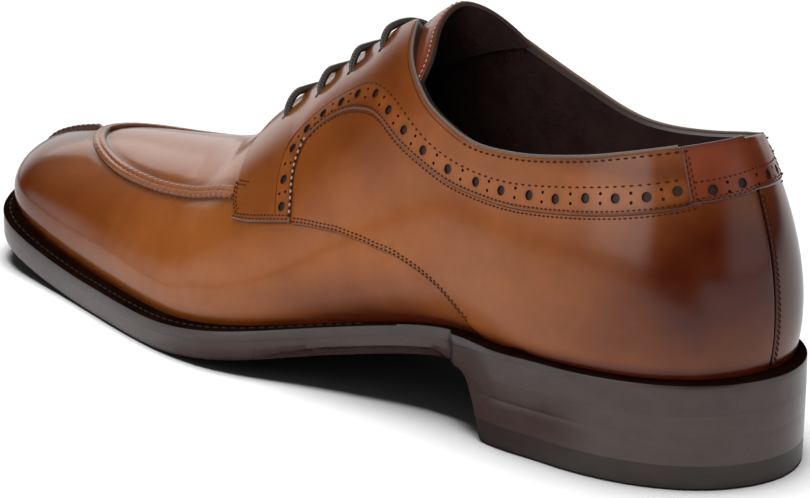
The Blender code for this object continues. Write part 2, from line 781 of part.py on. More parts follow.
def main():
    clear_scene()
    build_outsole()
    build_welt()
    build_heel()
    build_insole()
    build_upper()
    build_tongue()
    build_facing("facing_lateral", False)
    build_facing("facing_medial", True)
    build_quarter("quarter_lateral", False)
    build_quarter("quarter_medial", True)
    build_heel_tab()
    build_seams()
    build_laces()


main()
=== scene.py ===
# Left split-toe derby: burnished leather, stitching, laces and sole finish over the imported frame.
# The last is measured in millimetres: y from heel to toe, -x to the outer side, z from the floor.
import json
import math

import bpy
import numpy as np
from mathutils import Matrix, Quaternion, Vector
from mathutils.kdtree import KDTree

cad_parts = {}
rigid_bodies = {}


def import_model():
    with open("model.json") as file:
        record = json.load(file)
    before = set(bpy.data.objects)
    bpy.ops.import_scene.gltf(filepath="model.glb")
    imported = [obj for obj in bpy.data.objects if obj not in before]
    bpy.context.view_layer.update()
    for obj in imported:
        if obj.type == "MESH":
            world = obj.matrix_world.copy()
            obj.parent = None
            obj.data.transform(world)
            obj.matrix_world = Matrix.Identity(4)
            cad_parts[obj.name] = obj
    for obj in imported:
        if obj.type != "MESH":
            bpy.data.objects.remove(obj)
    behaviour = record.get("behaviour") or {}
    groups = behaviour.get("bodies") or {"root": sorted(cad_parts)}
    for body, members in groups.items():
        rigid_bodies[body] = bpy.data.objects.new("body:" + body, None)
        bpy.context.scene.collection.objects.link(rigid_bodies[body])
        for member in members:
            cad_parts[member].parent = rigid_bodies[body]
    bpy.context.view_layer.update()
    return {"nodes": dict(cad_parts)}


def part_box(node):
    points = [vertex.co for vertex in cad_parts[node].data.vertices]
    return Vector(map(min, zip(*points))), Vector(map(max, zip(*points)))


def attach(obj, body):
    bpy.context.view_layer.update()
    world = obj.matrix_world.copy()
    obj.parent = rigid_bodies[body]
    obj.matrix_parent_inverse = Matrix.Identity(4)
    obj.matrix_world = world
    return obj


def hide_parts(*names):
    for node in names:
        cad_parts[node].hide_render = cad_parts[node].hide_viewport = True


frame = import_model()
print("frame loaded")


# The last: one row per section, heel to toe. Outer x and y, inner x and y of the feather edge,
# crest y, sole overhang, then lean in degrees and the two handle lengths, outer and inner side.
last = {
    "rows": [
        (0.0, 4.4, 0.0, 4.4, 38, 4.4, 14, 37, 11, 14, 37, 11),
        (-15.5, 9.5, 15.5, 9.5, 39, 3.8, 13, 37, 14, 14, 37, 8),
        (-26.0, 23.0, 26.0, 23.0, 42, 3.2, 12, 36, 17, 12, 36, 13),
        (-31.0, 44.0, 30.5, 44.0, 52, 3.0, 10, 34, 17, 10, 34, 14),
        (-30.5, 70.0, 29.5, 70.0, 74, 2.2, 13, 33, 15, 12, 33, 13),
        (-27.8, 95.0, 25.5, 97.0, 98, 1.6, 21, 33, 14, 16, 33, 13),
        (-31.5, 120.0, 25.0, 122.0, 120, 2.0, 23, 30, 13, 18, 32, 13),
        (-37.0, 143.0, 30.5, 147.0, 143, 2.6, 20, 26, 12, 17, 28, 13),
        (-41.6, 168.0, 39.0, 173.0, 168, 4.8, 14, 22, 14, 13, 24, 15),
        (-40.0, 195.0, 46.0, 200.0, 194, 5.2, 10, 18, 17, 10, 20, 18),
        (-34.5, 221.0, 46.5, 227.0, 219, 5.2, 11, 17, 20, 11, 18, 20),
        (-28.3, 247.5, 40.5, 252.0, 241, 5.2, 14, 16, 20, 14, 16, 20),
        (-23.5, 271.0, 31.5, 273.0, 258, 5.2, 23, 16, 19, 22, 16, 19),
        (-15.3, 290.0, 19.5, 291.0, 268, 5.2, 30, 15, 19, 28, 15, 19),
        (4.0, 299.8, 4.0, 299.8, 272, 5.2, 30, 15, 19, 30, 15, 19),
    ],
    "crest": [  # y, x, z
        (38, 0.0, 112.0), (60, 0.0, 113.5), (85, 0.0, 112.5), (105, 0.0, 108.5), (122, 0.5, 102.5),
        (137, 1.0, 94.3), (151, 1.5, 85.2), (166, 2.0, 75.2), (180, 2.5, 65.5), (194, 3.2, 55.2),
        (208, 4.2, 49.4), (225, 5.2, 45.9), (245, 5.8, 43.1), (262, 5.5, 41.0), (272, 5.0, 39.5),
    ],
    "collar": [  # top line from the side: y, outer z, inner z
        (12, 87.6, 87.6), (17, 86.8, 85.6), (24, 85.4, 82.4), (33, 83.3, 79.9), (42, 81.2, 78.0),
        (52, 79.3, 76.5), (62, 77.7, 75.8), (71, 76.9, 76.5), (79, 76.7, 79.0), (87, 77.6, 82.9),
        (95, 79.9, 87.1), (104, 83.3, 92.7), (111, 87.4, 97.0), (118, 92.4, 100.5),
        (122.5, 97.0, 104.0), (125.5, 101.0, 107.0), (128, 106.0, 112.0),
    ],
    "collarSlope": 1.6,
    "throatTop": 100.0,
    "throatHalf": 4.0,
    "throatSpread": 1.5,
    "spreadFrom": 150.0,
    "spreadRun": 30.0,
    "rimBlend": 3.0,
    "rimRises": (0.12, 1.0, 441),
    "outsideThroat": -20.0,
    # steps for slopes, and the rises between which a normal is taken
    "featherStep": 0.001,
    "crestStep": 0.5,
    "normalStep": 0.002,
    "normalRises": (0.002, 0.985),
}
sideCount = len(last["rows"]) - 1
ringCount = 2 * sideCount
crestRows = np.array(last["crest"], float)
collarRows = np.array(last["collar"], float)


def ease(share):
    share = np.clip(share, 0.0, 1.0)
    return share * share * (3.0 - 2.0 * share)


def unit(vectors):
    return vectors / np.linalg.norm(vectors, axis=-1, keepdims=True)


def bell(distance, width):
    return np.exp(-(np.asarray(distance) / width) ** 2)


# natural cubic curve through values at knots
def curveThrough(knots, values, at):
    knots = np.asarray(knots, float)
    values = np.asarray(values, float)
    at = np.asarray(at, float)
    count = len(knots)
    step = np.diff(knots)
    matrix = np.eye(count)
    right = np.zeros(count)
    for i in range(1, count - 1):
        matrix[i, i - 1:i + 2] = step[i - 1], 2 * (step[i - 1] + step[i]), step[i]
        right[i] = 6 * ((values[i + 1] - values[i]) / step[i] - (values[i] - values[i - 1]) / step[i - 1])
    bend = np.linalg.solve(matrix, right)
    i = np.clip(np.searchsorted(knots, at) - 1, 0, count - 2)
    a = (knots[i + 1] - at) / step[i]
    b = 1.0 - a
    straight = a * values[i] + b * values[i + 1]
    return straight + ((a**3 - a) * bend[i] + (b**3 - b) * bend[i + 1]) * step[i] ** 2 / 6


# closed cubic curve through evenly spaced values
def curveRound(values, at):
    count = len(values)
    matrix = 4.0 * np.eye(count)
    for i in range(count):
        matrix[i, i - 1] = 1.0
        matrix[i, (i + 1) % count] = 1.0
    bend = np.linalg.solve(matrix, 6 * (np.roll(values, -1) - 2 * values + np.roll(values, 1)))
    at = np.asarray(at, float) % count
    i = np.floor(at).astype(int) % count
    j = (i + 1) % count
    b = at - np.floor(at)
    a = 1.0 - b
    return a * values[i] + b * values[j] + ((a**3 - a) * bend[i] + (b**3 - b) * bend[j]) / 6


# out along the outer side of the last and home along the inner one
def ringColumn(outer, inner):
    out = [row[outer] for row in last["rows"]]
    home = [row[inner] for row in last["rows"][-2:0:-1]]
    return np.array(out + home, float)


featherX = ringColumn(0, 2)
featherY = ringColumn(1, 3)
crestAt = ringColumn(4, 4)
overhang = ringColumn(5, 5)
leanAngle = ringColumn(6, 9)
wallHandle = ringColumn(7, 10)
crownHandle = ringColumn(8, 11)

sole = {
    "length": 305.0, "flatBack": 198.0, "flatFront": 232.0, "archRun": 128.0, "seatHeight": 18.4,
    "seatRise": 1.6, "seatLength": 70.0, "toeSpring": 11.0, "thick": 9.2, "heelThinner": 0.5,
    "weltThick": 3.5, "heelWeltThick": 2.1, "blendFront": 90.0, "blendRun": 30.0,
    "edgeRound": 0.9, "treadEdge": 1.2, "waistRound": 3.0, "waistRise": 1.6, "waistStart": 8.0,
    "waistEnd": 160.0, "waistEndRun": 30.0, "topPiece": 6.5, "heelFront": 79.0, "breastSlope": 6.0,
    "breastHollow": 3.0, "breastFlare": 3.0, "flarePower": 10, "heelTaper": 0.5, "breastClear": 2.0,
    "heelStations": (0.0, 5.0, 2001), "heelSteps": 81, "breastSteps": 26, "wingOut": 1.8, "wingFront": 88.0,
    "wingRun": 3.5, "wingBack": 50.0, "wingBackRun": 20.0, "columnsPerStation": 20, "outlineSteps": 1200,
    "joint": 0.012,
}


def soleBottom(y):
    arch = sole["seatHeight"] * ease((sole["flatBack"] - y) / sole["archRun"])
    seat = sole["seatRise"] * np.clip(1.0 - y / sole["seatLength"], 0.0, 1.0)
    run = sole["length"] - sole["flatFront"]
    return arch + seat + sole["toeSpring"] * (np.clip(y - sole["flatFront"], 0.0, None) / run) ** 2


def heelShare(y):
    return ease((sole["blendFront"] - y) / sole["blendRun"])


# height of the feather edge, where upper and welt meet
def soleTop(y):
    return soleBottom(y) + sole["thick"] - sole["heelThinner"] * heelShare(y)


def outsoleTop(y):
    return soleTop(y) - sole["weltThick"] - (sole["heelWeltThick"] - sole["weltThick"]) * heelShare(y)


def crestPoint(y):
    x = curveThrough(crestRows[:, 0], crestRows[:, 1], y)
    z = curveThrough(crestRows[:, 0], crestRows[:, 2], y)
    return np.stack([x, np.asarray(y, float), z], axis=-1)


def feather(station):
    return np.stack([curveRound(featherX, station), curveRound(featherY, station)], axis=-1)


def featherOutward(station):
    along = feather(station + last["featherStep"]) - feather(station - last["featherStep"])
    outward = np.stack([-along[..., 1], along[..., 0]], axis=-1)
    return unit(outward)


# a place on the last: station along its sections, rise 0 at the feather edge to 1 at the crest
def lastPoint(station, rise):
    station, rise = np.broadcast_arrays(np.asarray(station, float), np.asarray(rise, float))
    edge = feather(station)
    foot = np.concatenate([edge, soleTop(edge[..., 1])[..., None]], axis=-1)
    lean = np.radians(curveRound(leanAngle, station))[..., None]
    wall = curveRound(wallHandle, station)[..., None]
    footHandle = foot + wall * np.concatenate([featherOutward(station) * np.sin(lean), np.cos(lean)], axis=-1)
    back, front = crestRows[0, 0], crestRows[-1, 0]
    at = np.clip(curveRound(crestAt, station), back, front)
    crest = crestPoint(at)
    step = last["crestStep"]
    along = crestPoint(np.minimum(at + step, front)) - crestPoint(np.maximum(at - step, back))
    toward = foot - crest
    side = along * toward[..., 1:2]
    side[..., 0] += toward[..., 0] * along[..., 1] - toward[..., 1] * along[..., 0]
    crestHandle = crest + unit(side) * curveRound(crownHandle, station)[..., None]
    up = rise[..., None]
    rest = 1.0 - up
    return rest**3 * foot + 3 * rest**2 * up * footHandle + 3 * rest * up**2 * crestHandle + up**3 * crest


def lastNormal(station, rise):
    station, rise = np.broadcast_arrays(np.asarray(station, float), np.asarray(rise, float))
    rise = np.clip(rise, *last["normalRises"])
    step = last["normalStep"]
    along = lastPoint(station + step, rise) - lastPoint(station - step, rise)
    up = lastPoint(station, rise + step) - lastPoint(station, rise - step)
    return unit(np.cross(up, along))


def onLast(station, rise, height):
    height = np.asarray(height, float)
    return lastPoint(station, rise) + height[..., None] * lastNormal(station, rise)


# how far up a section the leather reaches before the collar or the throat cuts it
def rimRise(stations, throatEnd):
    stations = np.atleast_1d(np.asarray(stations, float))
    rise = np.linspace(*last["rimRises"])
    points = lastPoint(stations[:, None], rise[None, :])
    x, y, z = points[..., 0], points[..., 1], points[..., 2]
    inside = np.clip(y, collarRows[0, 0], collarRows[-1, 0])
    outerZ = curveThrough(collarRows[:, 0], collarRows[:, 1], inside)
    innerZ = curveThrough(collarRows[:, 0], collarRows[:, 2], inside)
    isOuter = (stations % ringCount <= sideCount)[:, None]
    collar = np.where(isOuter, outerZ, innerZ) + last["collarSlope"] * (np.maximum(y, inside) - inside)
    overCollar = z - collar
    half = last["throatHalf"] + last["throatSpread"] * ease((last["spreadFrom"] - y) / last["spreadRun"])
    roundEnd = np.clip((throatEnd - y) / last["throatHalf"], 0.0, 1.0)
    half = half * np.sqrt(1.0 - (1.0 - roundEnd) ** 2)
    centre = crestPoint(np.clip(y, crestRows[0, 0], crestRows[-1, 0]))[..., 0]
    open_ = (y < throatEnd) & (y > last["throatTop"])
    inThroat = np.where(open_, half - np.abs(x - centre), last["outsideThroat"])
    mix = np.clip(0.5 + 0.5 * (overCollar - inThroat) / last["rimBlend"], 0.0, 1.0)
    field = inThroat + (overCollar - inThroat) * mix + last["rimBlend"] * mix * (1.0 - mix)
    over = field > 0
    first = np.maximum(np.argmax(over, axis=1), 1)
    row = np.arange(len(stations))
    before, after = field[row, first - 1], field[row, first]
    share = np.clip(before / np.where(before == after, -1.0, before - after), 0.0, 1.0)
    crossing = rise[first - 1] + share * (rise[first] - rise[first - 1])
    return np.where(over.any(axis=1), crossing, 1.0)


def soleOutline(station, inset=0.0):
    edge = feather(station)
    y = edge[..., 1]
    wing = ease((sole["wingFront"] - y) / sole["wingRun"])
    wing = wing * ease((y - sole["wingBack"]) / sole["wingBackRun"])
    reach = curveRound(overhang, station) + sole["wingOut"] * wing - inset
    return edge + featherOutward(station) * reach[..., None]


# shoe millimetres to world metres, with the sole's footprint set on the frame's own outsole
footprint = soleOutline(np.linspace(0.0, ringCount, sole["outlineSteps"]))
outsoleLow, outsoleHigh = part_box("outsole")
outsoleMiddle = np.array((outsoleLow + outsoleHigh) / 2)[:2] * 1000
shoeMiddle = (footprint.min(axis=0) + footprint.max(axis=0)) / 2 - outsoleMiddle


def toWorld(points):
    return (np.asarray(points, float) - (shoeMiddle[0], shoeMiddle[1], 0.0)) * 0.001


def toShoe(points):
    return np.asarray(points, float) * 1000 + (shoeMiddle[0], shoeMiddle[1], 0.0)


def runAlong(points):
    return np.concatenate([[0.0], np.cumsum(np.linalg.norm(np.diff(points, axis=0), axis=1))])


# evenly spaced places along a smooth line through a few (station, rise) marks
def smoothMarks(marks, spacing):
    marks = np.array(marks, float)
    run = runAlong(lastPoint(marks[:, 0], marks[:, 1]))
    places = np.linspace(0.0, run[-1], max(3, int(round(run[-1] / spacing)) + 1))
    return np.stack([curveThrough(run, marks[:, 0], places), curveThrough(run, marks[:, 1], places)])


# Mesh helpers
def deselectAll():
    if bpy.context.mode != "OBJECT":
        bpy.ops.object.mode_set(mode="OBJECT")
    bpy.ops.object.select_all(action="DESELECT")


def makeActive(piece):
    deselectAll()
    piece.select_set(True)
    bpy.context.view_layer.objects.active = piece


def startEdit(piece, action="SELECT"):
    makeActive(piece)
    bpy.ops.object.mode_set(mode="EDIT")
    bpy.ops.mesh.select_all(action=action)


def endEdit():
    bpy.ops.object.mode_set(mode="OBJECT")


def mergeDoubles(piece):
    startEdit(piece)
    bpy.ops.mesh.remove_doubles(threshold=2e-6)
    bpy.ops.mesh.dissolve_degenerate(threshold=1e-6)
    endEdit()


def flipFaces(piece):
    startEdit(piece)
    bpy.ops.mesh.flip_normals()
    endEdit()


def facesOutward(piece):
    startEdit(piece)
    bpy.ops.mesh.normals_make_consistent(inside=False)
    endEdit()


# caps the open ends of a tube
def closeEnds(piece):
    startEdit(piece, "DESELECT")
    bpy.ops.mesh.select_non_manifold()
    bpy.ops.mesh.fill()
    endEdit()


def applyModifier(piece, kind, **settings):
    modifier = piece.modifiers.new(kind.title(), kind)
    for key, value in settings.items():
        setattr(modifier, key, value)
    makeActive(piece)
    bpy.ops.object.modifier_apply(modifier=modifier.name)


# a grid laid over rows of points, its faces turned the way outward points
def gridPiece(name, points, outward=None):
    rows, columns = points.shape[:2]
    deselectAll()
    bpy.ops.mesh.primitive_grid_add(x_subdivisions=columns - 1, y_subdivisions=rows - 1, size=0.1)
    piece = bpy.context.object
    piece.name = name
    piece.data.name = name
    piece.data.vertices.foreach_set("co", toWorld(points).reshape(-1).astype(np.float32))
    piece.data.update()
    if outward is not None:
        middle = piece.data.polygons[len(piece.data.polygons) // 2]
        if middle.normal.dot(Vector(outward.reshape(-1, 3)[middle.vertices[0]])) < 0:
            flipFaces(piece)
    return piece


# closed solid through loops of points, each loop running once round
def loopPiece(name, loops):
    points = np.stack([np.concatenate([loop, loop[:1]]) for loop in loops])
    piece = gridPiece(name, points)
    mergeDoubles(piece)
    facesOutward(piece)
    return piece


# closed tube through rows of points, each row running once round
def tubePiece(name, rows):
    piece = gridPiece(name, rows)
    mergeDoubles(piece)
    closeEnds(piece)
    facesOutward(piece)
    return piece


# points and faces of the primitive just added, which is then removed
def takeShape():
    piece = bpy.context.object
    shape = np.array([v.co[:] for v in piece.data.vertices])
    sides = [tuple(p.vertices) for p in piece.data.polygons]
    bpy.data.objects.remove(piece, do_unlink=True)
    return shape, sides


# copies of a small shape stood on the surface, each along its own normal
def stoodOn(shape, places, normals, radii, depth):
    copies = []
    for place, normal, radius in zip(places, normals, radii):
        turn = np.array(Vector(normal).to_track_quat("Z", "Y").to_matrix())
        copies.append(place + (shape * (radius, radius, depth)) @ turn.T)
    return np.array(copies)


# one mesh of many copies of a shape
def repeatedPiece(name, copies, sides):
    size = copies.shape[1]
    faces = [tuple(index + k * size for index in side) for k in range(len(copies)) for side in sides]
    mesh = bpy.data.meshes.new(name)
    mesh.from_pydata(toWorld(copies.reshape(-1, 3)).tolist(), [], faces)
    piece = bpy.data.objects.new(name, mesh)
    bpy.context.scene.collection.objects.link(piece)
    return piece


def treeOf(marks):
    tree = KDTree(len(marks))
    for i, mark in enumerate(marks):
        tree.insert(mark, i)
    tree.balance()
    return tree


def distanceTo(tree, places):
    return np.array([tree.find(place)[2] for place in places])


# a cut panel of leather on the last: rolled top, flat underside, walls all round
def panelPiece(name, stations, rises, height, bottom, materials):
    columns = stations.shape[1]
    stations = np.concatenate([stations[:1], stations, stations[-1:]])
    rises = np.concatenate([rises[:1], rises, rises[-1:]])
    bottom = np.broadcast_to(np.asarray(bottom, float), height.shape)
    height = np.concatenate([bottom[:1], height, bottom[-1:]])
    bottom = np.concatenate([bottom[:1], bottom, bottom[-1:]])
    top = onLast(stations, rises, height)
    under = onLast(stations, rises, bottom)
    points = np.concatenate([top, under[:, ::-1], top[:, :1]], axis=1)
    piece = gridPiece(name, points)
    for material in materials:
        piece.data.materials.append(material)
    if len(materials) > 1:
        lane = np.zeros(2 * columns, np.int32)
        lane[columns - 1:] = 1
        lanes = np.tile(lane, (len(stations) - 1, 1))
        lanes[[0, -1]] = 1
        piece.data.polygons.foreach_set("material_index", lanes.ravel())
    mergeDoubles(piece)
    facesOutward(piece)
    return piece


def finishPiece(piece, materials, replaced, smoothAngle):
    makeActive(piece)
    bpy.ops.object.shade_smooth_by_angle(angle=math.radians(smoothAngle))
    if materials:
        kept = piece.data.materials
        for index, material in enumerate(materials):
            if index < len(kept):
                kept[index] = material
            else:
                kept.append(material)
    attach(piece, "root")
    if replaced:
        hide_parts(*replaced)
    print("made", piece.name, len(piece.data.polygons), "faces")


# paints two point attributes: the hand burnish with painted shade at the waist and welt, and dark edges,
# which are dye on panel edges and painted shade beside seams and holes
def paintPatinaAndShade(piece, shade, borders=None, borderReach=1.1, holes=None, holeReach=1.3):
    mesh = piece.data
    places = np.empty(len(mesh.vertices) * 3, np.float32)
    mesh.vertices.foreach_get("co", places)
    places = toShoe(places.reshape(-1, 3))
    edge = np.zeros(len(places))
    for marks, reach in ((borders, borderReach), (holes, holeReach)):
        if marks is not None and len(marks):
            edge = np.maximum(edge, bell(distanceTo(treeOf(marks), places), reach))
    for name, values in (("burnishAndShade", shade(places)), ("edge", edge)):
        attribute = mesh.attributes.new(name, "FLOAT", "POINT")
        attribute.data.foreach_set("value", np.clip(values, 0.0, 1.0).astype(np.float32))


# Camera first: fitted to the photograph, 810 by 498
camera = {
    "target": (-1.977, 134.419, 32.506), "distance": 1000.65, "azimuth": -43.3875, "elevation": 16.7248,
    "roll": -0.2285, "focalPixels": 3639.25, "imageWidth": 810, "sensor": 36.0, "clipStart": 0.01,
}


def addCamera():
    azimuth = math.radians(camera["azimuth"])
    elevation = math.radians(camera["elevation"])
    back = Vector((math.sin(azimuth) * math.cos(elevation), -math.cos(azimuth) * math.cos(elevation),
                   math.sin(elevation)))
    target = Vector(toWorld(camera["target"]))
    deselectAll()
    bpy.ops.object.camera_add(location=target + back * camera["distance"] * 0.001)
    view = bpy.context.object
    view.name = "photoCamera"
    view.rotation_mode = "QUATERNION"
    level = back.to_track_quat("Z", "Y")
    view.rotation_quaternion = level @ Quaternion((0, 0, 1), math.radians(camera["roll"]))
    view.data.sensor_width = camera["sensor"]
    view.data.lens = camera["focalPixels"] / camera["imageWidth"] * camera["sensor"]
    view.data.clip_start = camera["clipStart"]
    bpy.context.scene.camera = view


addCamera()
print("camera set")


# Shader node groups
def newGroup(name, inputs, outputs):
    group = bpy.data.node_groups.new(name, "ShaderNodeTree")
    for socketName, kind, value in inputs:
        socket = group.interface.new_socket(socketName, in_out="INPUT", socket_type=kind)
        if value is not None:
            socket.default_value = value
    for socketName, kind in outputs:
        group.interface.new_socket(socketName, in_out="OUTPUT", socket_type=kind)
    start = group.nodes.new("NodeGroupInput")
    end = group.nodes.new("NodeGroupOutput")
    return group, start, end


def addNode(tree, kind, **settings):
    node = tree.nodes.new(kind)
    for key, value in settings.items():
        setattr(node, key, value)
    return node


def feed(tree, source, target, socket):
    tree.links.new(source, target.inputs[socket])


def mathNode(tree, operation, first, second=None, third=None):
    node = addNode(tree, "ShaderNodeMath", operation=operation)
    for index, value in enumerate((first, second, third)):
        if value is None:
            continue
        if isinstance(value, (int, float)):
            node.inputs[index].default_value = value
        else:
            tree.links.new(value, node.inputs[index])
    return node.outputs[0]


def mixColour(tree, share, first, second, blend="MIX"):
    node = addNode(tree, "ShaderNodeMix", data_type="RGBA", blend_type=blend)
    for socket, value in (("Factor_Float", share), ("A_Color", first), ("B_Color", second)):
        slot = next(s for s in node.inputs if s.identifier == socket)
        if isinstance(value, (int, float)):
            slot.default_value = value
        elif isinstance(value, tuple):
            slot.default_value = (*value, 1.0)
        else:
            tree.links.new(value, slot)
    return next(s for s in node.outputs if s.identifier == "Result_Color")


def noise(tree, vector, scale, detail=2.0, roughness=0.5):
    node = addNode(tree, "ShaderNodeTexNoise")
    feed(tree, vector, node, "Vector")
    node.inputs["Scale"].default_value = scale
    node.inputs["Detail"].default_value = detail
    node.inputs["Roughness"].default_value = roughness
    return node.outputs["Fac"]


def ramp(tree, value, low, high):
    node = addNode(tree, "ShaderNodeMapRange", interpolation_type="SMOOTHSTEP")
    feed(tree, value, node, "Value")
    node.inputs["From Min"].default_value = low
    node.inputs["From Max"].default_value = high
    return node.outputs["Result"]


# calf grain: fine pores over a soft hide texture
hideLook = {
    "poreFrom": 0.1, "poreTo": 0.9, "softScale": 420.0, "softHeight": 0.55, "softTone": 0.4,
    "hideScale": 95.0, "hideHeight": 0.8, "hideTone": 0.6,
}


def buildHideGrain():
    group, start, end = newGroup(
        "hideGrain",
        [("Vector", "NodeSocketVector", None), ("Pore Scale", "NodeSocketFloat", 2200.0),
         ("Pore Depth", "NodeSocketFloat", 0.5)],
        [("Height", "NodeSocketFloat"), ("Tone", "NodeSocketFloat")],
    )
    vector = start.outputs["Vector"]
    pores = addNode(group, "ShaderNodeTexVoronoi", feature="F1")
    feed(group, vector, pores, "Vector")
    feed(group, start.outputs["Pore Scale"], pores, "Scale")
    cells = ramp(group, pores.outputs["Distance"], hideLook["poreFrom"], hideLook["poreTo"])
    soft = noise(group, vector, hideLook["softScale"], detail=3.0, roughness=0.6)
    hide = noise(group, vector, hideLook["hideScale"], detail=3.0, roughness=0.55)
    height = mathNode(group, "MULTIPLY", cells, start.outputs["Pore Depth"])
    height = mathNode(group, "MULTIPLY_ADD", soft, hideLook["softHeight"], height)
    height = mathNode(group, "MULTIPLY_ADD", hide, hideLook["hideHeight"], height)
    tone = mathNode(group, "MULTIPLY", hide, hideLook["hideTone"])
    tone = mathNode(group, "MULTIPLY_ADD", soft, hideLook["softTone"], tone)
    feed(group, height, end, "Height")
    feed(group, tone, end, "Tone")
    return group


# hand patina with painted shade: tan base, cloudy warm patches, dark polish and painted shade where the
# burnish mask says
patinaAndShadeLook = {
    "cloudScale": 26.0, "cloudFrom": 0.36, "cloudTo": 0.66, "cloudWarm": 0.55, "cloudSpread": 0.07,
    "wipeScale": 150.0, "wipeTurn": (0.5, 0.2, 0.7), "wipeStretch": (1.0, 0.16, 1.0), "wipeWarm": 0.35,
    "wipeSpread": 0.12, "spreadFull": 0.35, "toneShare": 0.5, "toneLeast": 0.75, "inkAndShadeShare": 0.8,
}


def buildPatinaAndPaintedShade():
    group, start, end = newGroup(
        "patinaAndPaintedShade",
        [("Vector", "NodeSocketVector", None), ("Burnish", "NodeSocketFloat", 0.0),
         ("Edge", "NodeSocketFloat", 0.0), ("Tone", "NodeSocketFloat", 0.5),
         ("Light", "NodeSocketColor", (0.5, 0.2, 0.08, 1)),
         ("Warm", "NodeSocketColor", (0.4, 0.13, 0.04, 1)),
         ("Dark", "NodeSocketColor", (0.05, 0.01, 0.004, 1)),
         ("Ink", "NodeSocketColor", (0.02, 0.006, 0.004, 1))],
        [("Color", "NodeSocketColor")],
    )
    look = patinaAndShadeLook
    vector = start.outputs["Vector"]
    burnishAndShadeMask = start.outputs["Burnish"]
    cloud = noise(group, vector, look["cloudScale"], detail=3.0, roughness=0.6)
    cloud = ramp(group, cloud, look["cloudFrom"], look["cloudTo"])
    streak = addNode(group, "ShaderNodeMapping")
    streak.inputs["Rotation"].default_value = look["wipeTurn"]
    streak.inputs["Scale"].default_value = look["wipeStretch"]
    feed(group, vector, streak, "Vector")
    wipe = noise(group, streak.outputs["Vector"], look["wipeScale"], detail=4.0, roughness=0.62)
    warmShare = mathNode(group, "MULTIPLY", wipe, look["wipeWarm"])
    warmShare = mathNode(group, "MULTIPLY_ADD", cloud, look["cloudWarm"], warmShare)
    colour = mixColour(group, warmShare, start.outputs["Light"], start.outputs["Warm"])
    spread = mathNode(group, "MULTIPLY", mathNode(group, "SUBTRACT", wipe, 0.5), look["wipeSpread"])
    cloudy = mathNode(group, "SUBTRACT", cloud, 0.5)
    spread = mathNode(group, "MULTIPLY_ADD", cloudy, look["cloudSpread"], spread)
    mask = mathNode(group, "MULTIPLY_ADD", spread, ramp(group, burnishAndShadeMask, 0.0, look["spreadFull"]), burnishAndShadeMask)
    mask = mathNode(group, "MINIMUM", mathNode(group, "MAXIMUM", mask, 0.0), 1.0)
    colour = mixColour(group, mask, colour, start.outputs["Dark"])
    fine = mathNode(group, "MULTIPLY_ADD", start.outputs["Tone"], look["toneShare"], look["toneLeast"])
    colour = mixColour(group, 1.0, colour, fine, "MULTIPLY")
    # dark edges: dye on cut panel edges, and painted shade beside the apron seam and round the punched holes
    inkAndShade = mathNode(group, "MULTIPLY", start.outputs["Edge"], look["inkAndShadeShare"])
    colour = mixColour(group, inkAndShade, colour, start.outputs["Ink"])
    feed(group, colour, end, "Color")
    return group


hideGrain = buildHideGrain()
patinaAndPaintedShade = buildPatinaAndPaintedShade()


def newMaterial(name):
    material = bpy.data.materials.new(name)
    material.use_nodes = True
    tree = material.node_tree
    return material, tree, tree.nodes["Principled BSDF"]


def objectPlace(tree):
    return addNode(tree, "ShaderNodeTexCoord").outputs["Object"]


def attributeValue(tree, name):
    return addNode(tree, "ShaderNodeAttribute", attribute_name=name).outputs["Fac"]


def useGroup(tree, group, **values):
    node = addNode(tree, "ShaderNodeGroup", node_tree=group)
    for key, value in values.items():
        socket = node.inputs[key.replace("_", " ")]
        if isinstance(value, (int, float)):
            socket.default_value = value
        elif isinstance(value, tuple):
            socket.default_value = (*value, 1.0)
        else:
            tree.links.new(value, socket)
    return node


def addBump(tree, shader, height, strength, distance):
    bump = addNode(tree, "ShaderNodeBump")
    bump.inputs["Strength"].default_value = strength
    bump.inputs["Distance"].default_value = distance
    feed(tree, height, bump, "Height")
    feed(tree, bump.outputs["Normal"], shader, "Normal")


calf = {
    "poreScale": 2100.0, "poreDepth": 0.12, "glossSpread": 0.10, "glossShift": 0.05, "coatRough": 0.1,
    "shine": 0.38, "bump": 0.22, "bumpDepth": 0.00012,
}


def calfLeather(name, light, warm, dark, inkAndShade, gloss, coat):
    material, tree, shader = newMaterial(name)
    place = objectPlace(tree)
    grain = useGroup(tree, hideGrain, Vector=place, Pore_Scale=calf["poreScale"],
                     Pore_Depth=calf["poreDepth"])
    patinaAndShade = useGroup(tree, patinaAndPaintedShade, Vector=place, Burnish=attributeValue(tree, "burnishAndShade"),
                      Edge=attributeValue(tree, "edge"), Tone=grain.outputs["Tone"],
                      Light=light, Warm=warm, Dark=dark, Ink=inkAndShade)
    feed(tree, patinaAndShade.outputs["Color"], shader, "Base Color")
    tone = grain.outputs["Tone"]
    rough = mathNode(tree, "MULTIPLY_ADD", tone, calf["glossSpread"], gloss - calf["glossShift"])
    feed(tree, rough, shader, "Roughness")
    shader.inputs["Coat Weight"].default_value = coat
    shader.inputs["Coat Roughness"].default_value = calf["coatRough"]
    shader.inputs["Specular IOR Level"].default_value = calf["shine"]
    addBump(tree, shader, grain.outputs["Height"], calf["bump"], calf["bumpDepth"])
    return material


tanCalf = calfLeather("tanCalf", light=(0.305, 0.092, 0.018), warm=(0.228, 0.059, 0.010),
                      dark=(0.050, 0.0060, 0.0008), inkAndShade=(0.016, 0.004, 0.002), gloss=0.20, coat=0.25)
redCalf = calfLeather("redCalf", light=(0.21, 0.046, 0.016), warm=(0.15, 0.027, 0.009),
                      dark=(0.036, 0.006, 0.003), inkAndShade=(0.016, 0.004, 0.002), gloss=0.22, coat=0.2)
seamCalf = calfLeather("seamCalf", light=(0.30, 0.100, 0.028), warm=(0.22, 0.062, 0.014),
                       dark=(0.030, 0.005, 0.001), inkAndShade=(0.014, 0.004, 0.002), gloss=0.26, coat=0.2)


